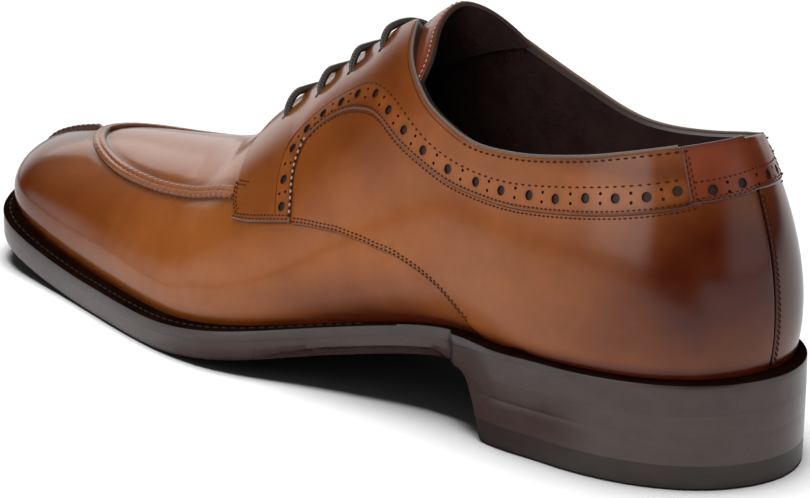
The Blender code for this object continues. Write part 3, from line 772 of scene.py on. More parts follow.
def darkLining(dark, light, gloss):
    material, tree, shader = newMaterial("darkLining")
    grain = useGroup(tree, hideGrain, Vector=objectPlace(tree), Pore_Scale=1500.0, Pore_Depth=0.8)
    tone = ramp(tree, grain.outputs["Tone"], low=0.3, high=0.7)
    feed(tree, mixColour(tree, tone, dark, light), shader, "Base Color")
    feed(tree, mathNode(tree, "MULTIPLY_ADD", tone, 0.15, gloss), shader, "Roughness")
    addBump(tree, shader, grain.outputs["Height"], strength=0.35, distance=0.00015)
    return material


# thread, cut leather and the inside of holes: one fibre noise for colour, gloss and relief
def fibreMaterial(name, dark, light, gloss, shine=0.5, scale=1600.0, detail=2.0, roughness=0.5,
                  relief=0.00008):
    material, tree, shader = newMaterial(name)
    fibre = noise(tree, objectPlace(tree), scale, detail, roughness)
    feed(tree, mixColour(tree, fibre, dark, light), shader, "Base Color")
    feed(tree, mathNode(tree, "MULTIPLY_ADD", fibre, 0.2, gloss), shader, "Roughness")
    shader.inputs["Specular IOR Level"].default_value = shine
    if relief:
        addBump(tree, shader, fibre, strength=0.3, distance=relief)
    return material


waxed = {
    "fibreScale": 130.0, "fibreTone": 0.6, "smearScale": 45.0, "smearTone": 0.4, "toneFrom": 0.32,
    "toneTo": 0.68, "glossSpread": 0.22, "glossShift": 0.1, "coatRough": 0.16, "leastShine": 0.15,
    "bump": 0.04, "bumpDepth": 0.0002,
}


def waxedEdge(name, dark, light, gloss, layers, shine):
    material, tree, shader = newMaterial(name)
    place = objectPlace(tree)
    stretch = addNode(tree, "ShaderNodeMapping")
    stretch.inputs["Scale"].default_value = (1.0, 1.0, layers)
    feed(tree, place, stretch, "Vector")
    fibre = noise(tree, stretch.outputs["Vector"], waxed["fibreScale"], detail=4.0, roughness=0.6)
    smear = noise(tree, place, waxed["smearScale"], detail=3.0)
    tone = mathNode(tree, "MULTIPLY", smear, waxed["smearTone"])
    tone = mathNode(tree, "MULTIPLY_ADD", fibre, waxed["fibreTone"], tone)
    tone = ramp(tree, tone, waxed["toneFrom"], waxed["toneTo"])
    feed(tree, mixColour(tree, tone, dark, light), shader, "Base Color")
    rough = mathNode(tree, "MULTIPLY_ADD", smear, waxed["glossSpread"], gloss - waxed["glossShift"])
    feed(tree, rough, shader, "Roughness")
    shader.inputs["Coat Weight"].default_value = max(shine, 0.0)
    shader.inputs["Coat Roughness"].default_value = waxed["coatRough"]
    shader.inputs["Specular IOR Level"].default_value = waxed["leastShine"] + shine
    addBump(tree, shader, fibre, waxed["bump"], waxed["bumpDepth"])
    return material


# two sets of plies crossing round the cord
weaving = {"plies": 190.0, "turns": 18.85, "dark": (0.016, 0.012, 0.010), "light": (0.085, 0.070, 0.060)}


def waxedCord():
    material, tree, shader = newMaterial("waxedCord")
    split = addNode(tree, "ShaderNodeSeparateXYZ")
    feed(tree, addNode(tree, "ShaderNodeUVMap").outputs["UV"], split, "Vector")
    twists = []
    for turns in (weaving["turns"], -weaving["turns"]):
        angle = mathNode(tree, "MULTIPLY", split.outputs["X"], turns)
        angle = mathNode(tree, "MULTIPLY_ADD", split.outputs["Y"], weaving["plies"], angle)
        twists.append(mathNode(tree, "SINE", angle))
    weave = mathNode(tree, "MULTIPLY_ADD", mathNode(tree, "MULTIPLY", *twists), 0.5, 0.5)
    feed(tree, mixColour(tree, weave, weaving["dark"], weaving["light"]), shader, "Base Color")
    feed(tree, mathNode(tree, "MULTIPLY_ADD", weave, -0.15, 0.55), shader, "Roughness")
    addBump(tree, shader, weave, strength=0.6, distance=0.0003)
    return material


liningLeather = darkLining((0.022, 0.010, 0.009), (0.040, 0.019, 0.017), gloss=0.62)
rawEdge = fibreMaterial("cutEdge", (0.012, 0.006, 0.004), (0.03, 0.015, 0.010), gloss=0.4, scale=900.0,
                        detail=3.0, roughness=0.6, relief=0.0001)
# dark of the holes: their cut walls, and the discs at their floors, which are painted shade
punchDark = fibreMaterial("holeDark", (0.014, 0.005, 0.003), (0.035, 0.012, 0.006), gloss=0.45,
                          scale=1200.0, relief=0.0)
brownThread = fibreMaterial("brownThread", (0.028, 0.006, 0.003), (0.055, 0.014, 0.006), gloss=0.5, shine=0.1)
weltThread = fibreMaterial("weltThread", (0.008, 0.005, 0.004), (0.024, 0.017, 0.013), gloss=0.5, shine=0.1)
# pale thread of the tongue; the pale beads on the front of the punched band are painted glints
paleThreadAndGlint = fibreMaterial("paleThreadAndGlint", (0.20, 0.15, 0.12), (0.42, 0.35, 0.30), gloss=0.35)
boundEdge = fibreMaterial("boundEdge", (0.09, 0.062, 0.050), (0.15, 0.110, 0.092), gloss=0.3)
soleEdge = waxedEdge("soleEdge", (0.036, 0.021, 0.018), (0.050, 0.031, 0.028),
                     gloss=0.26, layers=2.0, shine=0.3)
weltEdge = waxedEdge("weltEdge", (0.030, 0.020, 0.018), (0.042, 0.029, 0.027),
                     gloss=0.28, layers=2.0, shine=0.3)
weltLedge = waxedEdge("weltLedge", (0.006, 0.002, 0.001), (0.011, 0.004, 0.002),
                      gloss=0.6, layers=2.0, shine=-0.15)
heelEdge = waxedEdge("heelEdge", (0.040, 0.023, 0.020), (0.052, 0.032, 0.029),
                     gloss=0.24, layers=3.0, shine=0.3)
heelRubber = waxedEdge("heelRubber", (0.024, 0.016, 0.0145), (0.034, 0.023, 0.021),
                       gloss=0.36, layers=2.0, shine=0.15)
laceCord = waxedCord()
print("materials made")


# where the polisher darkened the leather, and painted shade under the arch and along the welt, the same on
# both sides:
# y, z, reach along, reach up, strength
burnishAndShade = {
    "patches": [
        (8.0, 62.0, 22.0, 30.0, 0.75),  # heel counter
        (20.0, 43.0, 46.0, 27.0, 0.50),
        (90.0, 64.0, 34.0, 14.0, 0.20),  # quarter
        (46.0, 80.5, 26.0, 3.5, 0.45),  # top line
        (134.0, 74.0, 24.0, 20.0, 0.42),  # streak down the facing
        (122.0, 91.0, 9.0, 12.0, 0.30),  # rear corner of the facing
        (165.0, 50.0, 14.0, 16.0, 0.26),  # front of the facing
        # the next two patches are painted shade under the arch
        (125.0, 22.0, 32.0, 9.0, 0.65),  # waist
        (100.0, 28.0, 24.0, 9.0, 0.35),
        (250.0, 24.0, 34.0, 16.0, 0.40),  # forward vamp
        (284.0, 26.0, 22.0, 22.0, 0.60),  # toe
    ],
    # painted shade along the welt: a narrow dark band and a wide faint one
    "weltShadeLine": 0.75, "weltReach": 2.2, "weltShadeSoft": 0.06, "weltShadeSoftReach": 10.0,
    "toeRidge": 0.6, "toeRidgeReach": 9.0, "toeRidgeX": 4.5, "toeRidgeFrom": 258.0, "toeRidgeRun": 18.0,
    "throat": 0.35, "throatReach": 14.0, "throatBack": 118.0, "throatBackRun": 14.0,
    "throatFront": 192.0, "throatFrontRun": 8.0,
}


def burnishAndShadeAt(places):
    x, y, z = places.T
    shade = np.zeros(len(places))
    for patchY, patchZ, reachY, reachZ, strength in burnishAndShade["patches"]:
        shade += strength * bell(np.hypot((y - patchY) / reachY, (z - patchZ) / reachZ), 1.0)
    above = z - soleTop(y)
    # painted shade along the welt
    shade += burnishAndShade["weltShadeLine"] * bell(above, burnishAndShade["weltReach"])
    shade += burnishAndShade["weltShadeSoft"] * bell(above, burnishAndShade["weltShadeSoftReach"])
    centre = crestPoint(np.clip(y, crestRows[0, 0], crestRows[-1, 0]))
    toCrest = np.hypot(x - centre[:, 0], z - centre[:, 2])
    onToe = burnishAndShade["toeRidge"] * bell(x - burnishAndShade["toeRidgeX"], burnishAndShade["toeRidgeReach"])
    shade += onToe * ease((y - burnishAndShade["toeRidgeFrom"]) / burnishAndShade["toeRidgeRun"])
    throat = burnishAndShade["throat"] * bell(toCrest, burnishAndShade["throatReach"])
    throat = throat * ease((y - burnishAndShade["throatBack"]) / burnishAndShade["throatBackRun"])
    shade += throat * ease((burnishAndShade["throatFront"] - y) / burnishAndShade["throatFrontRun"])
    return np.clip(shade, 0.0, 1.0)


# Apron seam line, seen from above: x, y
apron = {
    "line": [
        (-28.6, 175.0), (-25.6, 188.0), (-23.0, 201.5), (-21.1, 214.5), (-18.8, 227.0), (-15.9, 239.0),
        (-12.3, 250.0), (-8.2, 259.0), (-2.6, 266.5), (4.8, 270.5), (12.6, 267.4), (18.6, 260.0),
        (22.0, 249.0), (23.9, 235.0), (25.1, 220.0), (26.4, 205.0), (28.2, 190.0), (30.0, 176.5),
    ],
    "half": 2.1, "height": 1.9, "spacing": 0.36, "stitchPitch": 3.1, "dent": 0.5, "groove": 0.3,
    "slant": 0.55, "frontLower": 0.3, "frontLowerFrom": 236.0, "frontLowerRun": 22.0,
    "farLower": 0.35, "farLowerRun": 16.0, "calm": 0.9, "calmFrom": 212.0, "calmRun": 34.0,
    "shadeLeast": 0.05, "shadeShare": 0.6, "inkAndShadeReach": 0.9, "pathRounds": 30, "normalRounds": 60,
    "toeHalf": 1.15, "toeHeight": 1.35, "toeTop": 0.955, "toeFoot": 0.02, "toePitch": 2.4, "toeDent": 0.2,
    "toeGroove": 0.25, "toeSlant": 0.2, "toeSteps": 150, "toeShade": 0.92,
    # how closely the last is sampled to drop the line onto it: stations, then rises from, to and step
    "dropStations": 0.04, "dropRises": (0.2, 0.985, 0.008),
}


# drops a line seen from above onto the last
def dropOnLast(outline):
    stations = np.arange(sideCount / 2, ringCount - sideCount / 2, apron["dropStations"])
    station, rise = np.meshgrid(stations, np.arange(*apron["dropRises"]), indexing="ij")
    cloud = lastPoint(station.ravel(), rise.ravel())
    normals = lastNormal(station.ravel(), rise.ravel())
    found = []
    for x, y in outline:
        near = np.argmin((cloud[:, 0] - x) ** 2 + (cloud[:, 1] - y) ** 2)
        base, normal = cloud[near], normals[near]
        z = base[2] - (normal[0] * (x - base[0]) + normal[1] * (y - base[1])) / normal[2]
        found.append((x, y, z, *normal))
    found = np.array(found)
    return found[:, :3], found[:, 3:]


def smoothLine(points, rounds):
    points = points.copy()
    for _ in range(rounds):
        points[1:-1] = (points[:-2] + 2 * points[1:-1] + points[2:]) / 4
    return points


def apronPath():
    line = np.array(apron["line"])
    run = runAlong(line)
    places = np.arange(0.0, run[-1], apron["spacing"])
    outline = np.stack([curveThrough(run, line[:, 0], places), curveThrough(run, line[:, 1], places)], axis=1)
    path, normals = dropOnLast(outline)
    path = smoothLine(path, apron["pathRounds"])
    normals = smoothLine(normals, apron["normalRounds"])
    return path, unit(normals)


apronLine, apronNormals = apronPath()
apronTree = treeOf(apronLine)


# Upper: one lasted shell, open at collar and throat, with its lining
upper = {
    "columnsPerStation": 14, "rows": 56, "wall": 1.6, "throatEnd": 178.0, "tuck": 1.0,
    # painted shade beside the apron seam: its reach, and the lift of the line it is measured from, are the
    # last two on the next line
    "seamTrough": 0.2, "troughAway": 2.6, "troughWidth": 0.8, "seamInk": 3.0, "seamInkLift": 1.0,
    "foldsFrom": 150.0, "foldSteps": 12, "swell": 0.4, "swellAway": 2.2,
    # soft folds: (station, rise) of both ends, depth, width
    "folds": [
        ((8.95, 0.66), (9.30, 0.99), 0.10, 3.6),
        ((9.45, 0.70), (9.60, 0.99), 0.10, 4.0),
        ((18.90, 0.66), (18.60, 0.99), 0.10, 3.6),
        ((8.60, 0.16), (9.30, 0.42), 0.12, 4.5),
    ],
}


def foldDepth(points):
    depth = np.zeros(points.shape[:-1])
    for start, end, deep, width in upper["folds"]:
        line = np.linspace(start, end, upper["foldSteps"])
        path = lastPoint(line[:, 0], line[:, 1])
        away = np.min(np.linalg.norm(points[..., None, :] - path, axis=-1), axis=-1)
        depth -= deep * bell(away, width)
        depth += upper["swell"] * deep * bell(away - upper["swellAway"] * width, width)
    return depth


def buildUpper():
    count = ringCount * upper["columnsPerStation"]
    stations = np.arange(count + 1) / upper["columnsPerStation"]
    rim = rimRise(stations % ringCount, upper["throatEnd"])
    shares = np.linspace(0.0, 1.0, upper["rows"] + 1)
    rises = shares[:, None] * rim[None, :]
    points = lastPoint(stations[None, :], rises)
    normals = lastNormal(stations[None, :], rises)
    nearSeam = distanceTo(apronTree, points.reshape(-1, 3)).reshape(rises.shape)
    height = -upper["seamTrough"] * bell(nearSeam - upper["troughAway"], upper["troughWidth"])
    front = points[..., 1] > upper["foldsFrom"]
    height[front] += foldDepth(points[front])
    points += height[..., None] * normals
    foot = points[:1] - (0.0, 0.0, upper["tuck"])
    points = np.concatenate([foot, points])
    normals = np.concatenate([normals[:1], normals])
    piece = gridPiece("lastedUpper", points, normals)
    mergeDoubles(piece)
    for material in (tanCalf, liningLeather, rawEdge):
        piece.data.materials.append(material)
    applyModifier(piece, "SOLIDIFY", thickness=upper["wall"] * 0.001, offset=-1.0, use_even_offset=True,
                  material_offset=1, material_offset_rim=2)
    # painted shade on the vamp along the feet of the apron seam
    seamFootShadeLine = apronLine + upper["seamInkLift"] * apronNormals
    paintPatinaAndShade(piece, burnishAndShadeAt, borders=seamFootShadeLine, borderReach=upper["seamInk"])
    finishPiece(piece, None, ("upper",), smoothAngle=50.0)


buildUpper()


def sideStation(station, inner):
    return ringCount - station if inner else station


# Facing with its punched band: edge station, edge rise, station of the rim across from it
facing = {
    "rows": [
        (8.03, 0.370, 8.60), (7.78, 0.350, 8.50), (7.40, 0.332, 8.38), (7.08, 0.318, 8.27),
        (7.17, 0.385, 8.12), (7.28, 0.455, 7.95), (7.33, 0.520, 7.75), (7.30, 0.565, 7.55),
        (7.18, 0.590, 7.30), (6.93, 0.599, 7.00), (6.68, 0.592, 6.72), (6.45, 0.576, 6.48),
        (6.18, 0.549, 6.22), (5.98, 0.519, 6.00), (5.75, 0.479, 5.75), (5.18, 0.400, 5.18),
        (4.73, 0.356, 4.73), (4.28, 0.336, 4.28), (3.90, 0.331, 3.90), (3.18, 0.341, 3.18),
        (2.35, 0.361, 2.35), (1.10, 0.393, 1.10),
    ],
    "cornerRow": 3, "bandRow": 7, "step": 0.9, "across": 26, "top": 1.55, "bottom": 0.05, "edgeRoll": 0.8,
    "edgeStart": 0.45, "frontBulge": 0.11, "bulgeReach": 9.0, "throatEnd": 188.0, "rimShare": 0.998,
    "holeRadius": 1.32, "pinRadius": 0.45, "pinApart": 1.2, "eyeletRadius": 1.3, "holeDepth": 0.62,
    "bitSides": 16, "bitDepth": 4.0, "shadeDiscSides": 12, "shadeDiscThick": 0.12, "shadeDiscWider": 1.06,
    "rearDrop": 0.35, "rearFrom": 1.80, "rearRun": 0.42, "throatDrop": 0.65, "throatFrom": 6.5,
    "throatRun": 0.4, "throatAcross": 0.3, "throatAcrossRun": 0.5,
    "darker": 0.15, "bandPale": 0.5, "bandReach": 2.8, "bandClear": 1.5, "markStep": 0.8,
    # punched holes along the band: station, rise
    "holes": [
        (7.28, 0.370), (7.40, 0.450), (7.48, 0.545), (7.38, 0.595), (7.20, 0.625), (6.93, 0.635),
        (6.65, 0.635), (6.28, 0.610), (5.93, 0.550), (5.58, 0.490), (5.20, 0.435), (4.75, 0.390),
        (4.30, 0.370), (3.93, 0.365), (3.55, 0.370), (3.20, 0.375), (2.80, 0.390), (2.38, 0.400),
        (1.93, 0.410), (1.47, 0.425),
    ],
    "eyelets": [(8.10, 0.735), (7.60, 0.745), (7.13, 0.765), (6.65, 0.790)],
    "bandTop": [
        (7.35, 0.355), (7.50, 0.455), (7.58, 0.525), (7.58, 0.585), (7.45, 0.625), (7.23, 0.655),
        (6.90, 0.665), (6.58, 0.660), (6.33, 0.640), (6.03, 0.600), (5.65, 0.535), (5.23, 0.465),
        (4.78, 0.415), (4.33, 0.390), (3.95, 0.385), (3.23, 0.400), (2.40, 0.425), (1.42, 0.450),
    ],
}
edgeSteps = np.array([0.0, 0.12, 0.3, 0.52, 0.8, 1.3, 2.0])
edgeMost = 0.3  # of a panel's width


# places along a length, close together near both ends
def edgedPlaces(length, step):
    inner = np.arange(edgeSteps[-1], length - edgeSteps[-1], step)[1:]
    return np.concatenate([edgeSteps, inner, (length - edgeSteps)[::-1]])


# shares across a panel of this width, close together near both edges
def edgedShares(width, count):
    ends = np.minimum(edgeSteps / width, edgeMost)
    inner = np.linspace(ends[-1], 1.0 - ends[-1], count - 2 * len(ends) + 2)[1:-1]
    return np.concatenate([ends, inner, (1.0 - ends)[::-1]])


def rolledHeight(distance, bottom, top, roll):
    share = np.clip(distance / roll, 0.0, 1.0)
    return bottom + (top - bottom) * np.sqrt(1.0 - (1.0 - share) ** 2)


# the facing's edge line, smooth on both sides of its corner
def facingEdge():
    rows = np.array(facing["rows"])
    corner = facing["cornerRow"]
    parts = []
    for part in (rows[:corner + 1], rows[corner:]):
        run = runAlong(lastPoint(part[:, 0], part[:, 1]))
        places = np.linspace(0.0, run[-1], int(run[-1] / facing["step"]) + 1)
        if len(parts) == 0:
            places = edgedPlaces(run[-1], facing["step"])
            places = places[:-len(edgeSteps) + 1]
            places = np.concatenate([places, [run[-1]]])
        parts.append(np.stack([curveThrough(run, part[:, k], places) for k in range(3)], axis=1))
    return np.concatenate([parts[0], parts[1][1:]])


facingLine = facingEdge()


def facingGrid(inner):
    line = facingLine
    rimStation = line[:, 2]
    rim = rimRise(sideStation(rimStation, inner), facing["throatEnd"]) * facing["rimShare"]
    lower = lastPoint(sideStation(line[:, 0], inner), line[:, 1])
    higher = lastPoint(sideStation(rimStation, inner), rim)
    width = np.linalg.norm(higher - lower, axis=1)
    shares = np.stack([edgedShares(w, facing["across"]) for w in width])
    stations = line[:, :1] + (rimStation - line[:, 0])[:, None] * shares
    rises = line[:, 1:2] + (rim - line[:, 1])[:, None] * shares
    frontRun = runAlong(lower)
    bulge = facing["frontBulge"] * bell(frontRun, facing["bulgeReach"])
    stations = stations + bulge[:, None] * 4 * shares * (1.0 - shares)
    return sideStation(stations, inner), rises, shares


# cutters for round holes, modelled once and laid out along the surface
def holeCutter(places, normals, radii):
    deselectAll()
    bpy.ops.mesh.primitive_cylinder_add(vertices=facing["bitSides"], radius=1.0, depth=2.0)
    shape, sides = takeShape()
    cutter = repeatedPiece("punchBits", stoodOn(shape, places, normals, radii, facing["bitDepth"]), sides)
    cutter.data.materials.append(punchDark)
    return cutter


# two pinholes across the band between each two large holes
def pinPlaces(stations, rises, inner):
    middleStation = (stations[1:] + stations[:-1]) / 2
    middleRise = (rises[1:] + rises[:-1]) / 2
    ends = lastPoint(sideStation(stations, inner), rises)
    along = ends[1:] - ends[:-1]
    place = lastPoint(sideStation(middleStation, inner), middleRise)
    normal = lastNormal(sideStation(middleStation, inner), middleRise)
    apart = facing["pinApart"] * unit(np.cross(normal, along))
    return np.concatenate([place + apart, place - apart]), np.concatenate([normal, normal])


def punch(piece, stations, rises, inner, eyelets, top):
    large = lastPoint(sideStation(stations, inner), rises)
    largeNormal = lastNormal(sideStation(stations, inner), rises)
    pins, pinNormal = pinPlaces(stations, rises, inner)
    places = [large, pins]
    normals = [largeNormal, pinNormal]
    radii = [facing["holeRadius"]] * len(large) + [facing["pinRadius"]] * len(pins)
    if len(eyelets):
        eyeStation, eyeRise = np.array(eyelets).T
        places.append(lastPoint(sideStation(eyeStation, inner), eyeRise))
        normals.append(lastNormal(sideStation(eyeStation, inner), eyeRise))
        radii += [facing["eyeletRadius"]] * len(eyelets)
    places = np.concatenate(places)
    normals = np.concatenate(normals)
    radii = np.array(radii)
    cutter = holeCutter(places, normals, radii)
    applyModifier(piece, "BOOLEAN", object=cutter, operation="DIFFERENCE", solver="EXACT",
                  material_mode="TRANSFER")
    bpy.data.objects.remove(cutter, do_unlink=True)
    floorHeight = top - facing["holeDepth"]
    # a dark disc at each hole's floor: painted shade
    holeShadeSpots.append((places + floorHeight * normals, normals, radii * facing["shadeDiscWider"]))
    return (places + top * normals)[radii > facing["pinRadius"]]


# the facing is darker than the panels round it, but paler along its punched band
def facingShade(places):
    line = smoothMarks(facing["holes"], facing["markStep"])
    marks = np.concatenate([lastPoint(sideStation(line[0], inner), line[1]) for inner in (False, True)])
    near = distanceTo(treeOf(marks), places)
    shade = burnishAndShadeAt(places)
    shade = shade + facing["darker"] * ease((near - facing["bandClear"]) / facing["bandReach"])
    return shade * (1.0 - facing["bandPale"] * bell(near, facing["bandReach"]))


# dark discs on the leather at the floor of each punched hole: painted shade inside the holes
holeShadeSpots = []


def borderOf(points):
    return np.concatenate([points[0], points[-1], points[:, 0], points[:, -1]])


def buildFacing(inner):
    stations, rises, shares = facingGrid(inner)
    base = lastPoint(stations, rises)
    fromLow = np.linalg.norm(base - base[:, :1], axis=-1)
    fromRim = np.linalg.norm(base - base[:, -1:], axis=-1)
    fromFront = np.linalg.norm(base - base[:1], axis=-1)
    distance = np.minimum(np.minimum(fromLow, fromRim), fromFront)
    fromBack = sideStation(stations, inner)
    top = facing["top"] - facing["rearDrop"] * ease((facing["rearFrom"] - fromBack) / facing["rearRun"])
    laced = ease((facingLine[:, 2:] - facing["throatFrom"]) / facing["throatRun"])
    toThroat = ease((shares - facing["throatAcross"]) / facing["throatAcrossRun"])
    top = top - facing["throatDrop"] * laced * toThroat
    height = rolledHeight(distance, facing["bottom"] + facing["edgeStart"], top, facing["edgeRoll"])
    name = "facingInner" if inner else "facingOuter"
    piece = panelPiece(name, stations, rises, height, facing["bottom"], [tanCalf])
    holes = np.array(facing["holes"])
    rims = punch(piece, holes[:, 0], holes[:, 1], inner, facing["eyelets"], facing["top"])
    # dyed panel edges, and painted shade round the punched holes
    paintPatinaAndShade(piece, facingShade, borders=borderOf(onLast(stations, rises, height)), holes=rims)
    node = "facing_medial" if inner else "facing_lateral"
    finishPiece(piece, None, (node,), smoothAngle=45.0)


buildFacing(False)
buildFacing(True)


# Quarter under the band: top station, top rise, bottom station, bottom rise
quarter = {
    "rows": [
        (7.16, 0.352, 7.05, 0.313), (7.30, 0.462, 6.81, 0.299), (7.36, 0.526, 6.62, 0.286),
        (7.33, 0.572, 6.45, 0.275), (7.20, 0.598, 6.30, 0.265), (6.93, 0.608, 6.10, 0.247),
        (6.68, 0.601, 5.90, 0.230), (6.45, 0.585, 5.70, 0.210), (6.18, 0.558, 5.50, 0.193),
        (5.98, 0.528, 5.32, 0.172), (5.75, 0.488, 5.10, 0.145), (5.18, 0.409, 4.73, 0.090),
        (4.73, 0.365, 4.50, 0.045), (4.28, 0.345, 4.22, 0.004), (3.90, 0.340, 3.90, 0.004),
        (3.18, 0.350, 3.18, 0.004), (2.35, 0.370, 2.35, 0.004), (1.75, 0.388, 1.75, 0.004),
        (1.30, 0.400, 1.30, 0.004), (0.85, 0.408, 0.85, 0.004), (0.42, 0.413, 0.42, 0.004),
        (0.012, 0.416, 0.012, 0.004),
    ],
    "step": 1.4, "across": 40, "top": 0.9, "bottom": 0.05, "edgeRoll": 0.7, "edgeStart": 0.15,
    "foot": 0.004, "weltBelow": 0.006, "sewnAbove": 0.02, "noEdge": 9.0, "inkAndShadeReach": 0.9,
}


def quarterGrid(inner):
    rows = np.array(quarter["rows"])
    run = runAlong(lastPoint((rows[:, 0] + rows[:, 2]) / 2, (rows[:, 1] + rows[:, 3]) / 2))
    places = edgedPlaces(run[-1], quarter["step"])
    line = np.stack([curveThrough(run, rows[:, k], places) for k in range(4)], axis=1)
    line[:, 3] = np.maximum(line[:, 3], quarter["foot"])
    low = lastPoint(sideStation(line[:, 2], inner), line[:, 3])
    high = lastPoint(sideStation(line[:, 0], inner), line[:, 1])
    width = np.linalg.norm(high - low, axis=1)
    shares = np.stack([edgedShares(w, quarter["across"]) for w in width])
    stations = line[:, 2:3] + (line[:, 0] - line[:, 2])[:, None] * shares
    rises = line[:, 3:4] + (line[:, 1] - line[:, 3])[:, None] * shares
    return sideStation(stations, inner), rises, line


def buildQuarter(inner):
    stations, rises, line = quarterGrid(inner)
    base = lastPoint(stations, rises)
    fromLow = np.linalg.norm(base - base[:, :1], axis=-1)
    fromBack = np.linalg.norm(base - base[-1:], axis=-1)
    atWelt = line[:, 3] < quarter["weltBelow"]
    fromLow = np.where(atWelt[:, None], quarter["noEdge"], fromLow)
    height = rolledHeight(np.minimum(fromLow, fromBack), quarter["bottom"] + quarter["edgeStart"],
                          quarter["top"], quarter["edgeRoll"])
    name = "quarterInner" if inner else "quarterOuter"
    piece = panelPiece(name, stations, rises, height, quarter["bottom"], [tanCalf])
    points = onLast(stations, rises, height)
    borders = np.concatenate([points[~atWelt, 0], points[-1]])
    paintPatinaAndShade(piece, burnishAndShadeAt, borders=borders, borderReach=quarter["inkAndShadeReach"])
    node = "quarter_medial" if inner else "quarter_lateral"
    finishPiece(piece, None, (node,), smoothAngle=45.0)


buildQuarter(False)
buildQuarter(True)


# Heel tab round the back of the collar
heelTab = {
    "frontLow": 1.27, "frontLean": 0.13, "low": 0.410, "dip": 0.016, "columns": 84, "across": 26,
    "halfLength": 28.0, "width": 22.0, "top": 1.5, "bottom": 0.3, "edgeRoll": 0.7, "edgeStart": 0.9,
    "burnishAndShadeShare": 0.35, "holeRise": 0.026, "holes": [0.90, 0.35, -0.35, -0.90],
}


# rise of the tab's lower edge
def tabLow(station):
    return heelTab["low"] - heelTab["dip"] * np.abs(station) / heelTab["frontLow"]


def heelTabGrid():
    along = np.linspace(-1.0, 1.0, heelTab["columns"])
    ends = 1.0 - edgeSteps / heelTab["halfLength"]
    along = np.unique(np.concatenate([along[np.abs(along) < ends[-1]], ends, -ends]))
    span = along * heelTab["frontLow"]
    rimStation = along * (heelTab["frontLow"] + heelTab["frontLean"]) % ringCount
    rim = rimRise(rimStation, facing["throatEnd"]) * facing["rimShare"]
    low = tabLow(span)
    shares = edgedShares(heelTab["width"], heelTab["across"])[None, :]
    stations = span[:, None] + along[:, None] * heelTab["frontLean"] * shares
    rises = low[:, None] + (rim - low)[:, None] * shares
    return stations, rises


def tabShade(places):
    return heelTab["burnishAndShadeShare"] * burnishAndShadeAt(places)


def buildHeelTab():
    stations, rises = heelTabGrid()
    base = lastPoint(stations, rises)
    sides = (base[:, :1], base[:, -1:], base[:1], base[-1:])
    fromEdge = np.min([np.linalg.norm(base - side, axis=-1) for side in sides], axis=0)
    height = rolledHeight(fromEdge, heelTab["edgeStart"], heelTab["top"], heelTab["edgeRoll"])
    points = onLast(stations, rises, height)
    piece = panelPiece("heelTab", stations, rises, height, heelTab["bottom"], [redCalf])
    spots = np.array(heelTab["holes"])
    rims = punch(piece, spots, tabLow(spots) + heelTab["holeRise"], False, [], heelTab["top"])
    # dyed panel edges, and painted shade round the punched holes
    paintPatinaAndShade(piece, tabShade, borders=borderOf(points), holes=rims)
    finishPiece(piece, None, ("heel_tab",), smoothAngle=45.0)


buildHeelTab()


def buildHoleShadeDiscs():
    count = facing["shadeDiscSides"]
    turn = np.linspace(0.0, 2 * np.pi, count + 1)[:-1]
    disc = np.stack([np.cos(turn), np.sin(turn), np.zeros(count)], axis=1)
    shape = np.concatenate([disc, disc - (0.0, 0.0, facing["shadeDiscThick"])])
    sides = [tuple(range(count)), tuple(range(2 * count - 1, count - 1, -1))]
    sides += [(i + count, (i + 1) % count + count, (i + 1) % count, i) for i in range(count)]
    discs = [stoodOn(shape, *spots, 1.0) for spots in holeShadeSpots]
    piece = repeatedPiece("holeShadeDiscs", np.concatenate(discs), sides)
    finishPiece(piece, [punchDark], (), smoothAngle=30.0)


buildHoleShadeDiscs()


# Tongue under the facings, its top standing free above the collar
tongue = {
    "foot": 196.0, "topRise": (0.56, 0.66), "footRise": 0.74, "rows": 66, "rowsFrom": 0.03, "across": 44,
    "width": 50.0, "length": 90.0, "sections": (5.0, 10.0, 501), "height": -2.45, "thick": 1.4,
    "edgeRoll": 0.7, "edgeDrop": 0.6, "inkAndShadeReach": 1.0, "stitchIn": 1.6, "stitchEnds": 3,
    "lift": 2.0, "liftTilt": 1.2, "liftRun": 0.2,
    # top edge from its outer to its inner corner: share across, y on the crest
    "edge": [
        (-1.0, 112.5), (-0.75, 110.6), (-0.5, 113.5), (-0.25, 115.0), (0.0, 114.0), (0.25, 111.7),
        (0.5, 108.4), (0.75, 104.6), (1.0, 100.4),
    ],
}


def tongueGrid():
    sides = np.linspace(*tongue["sections"])
    crestHere = curveRound(crestAt, sides)
    across = edgedShares(tongue["width"], tongue["across"]) * 2 - 1
    share = np.linspace(tongue["rowsFrom"], 1.0, tongue["rows"])
    share = np.unique(np.concatenate([edgeSteps / tongue["length"], share]))[:, None]
    edge = np.array(tongue["edge"])
    top = curveThrough(edge[:, 0], edge[:, 1], across)
    reach = top + (tongue["foot"] - top) * share
    station = np.interp(reach, crestHere, sides)
    topRise = np.where(across <= 0, *tongue["topRise"])
    edgeRise = topRise + (tongue["footRise"] - topRise) * share
    stations = np.where(across <= 0, station, ringCount - station)
    rises = 1.0 - (1.0 - edgeRise) * np.abs(across)
    lift = tongue["lift"] - tongue["liftTilt"] * across
    height = tongue["height"] + lift * ease(1.0 - share / tongue["liftRun"])
    return stations, rises, height


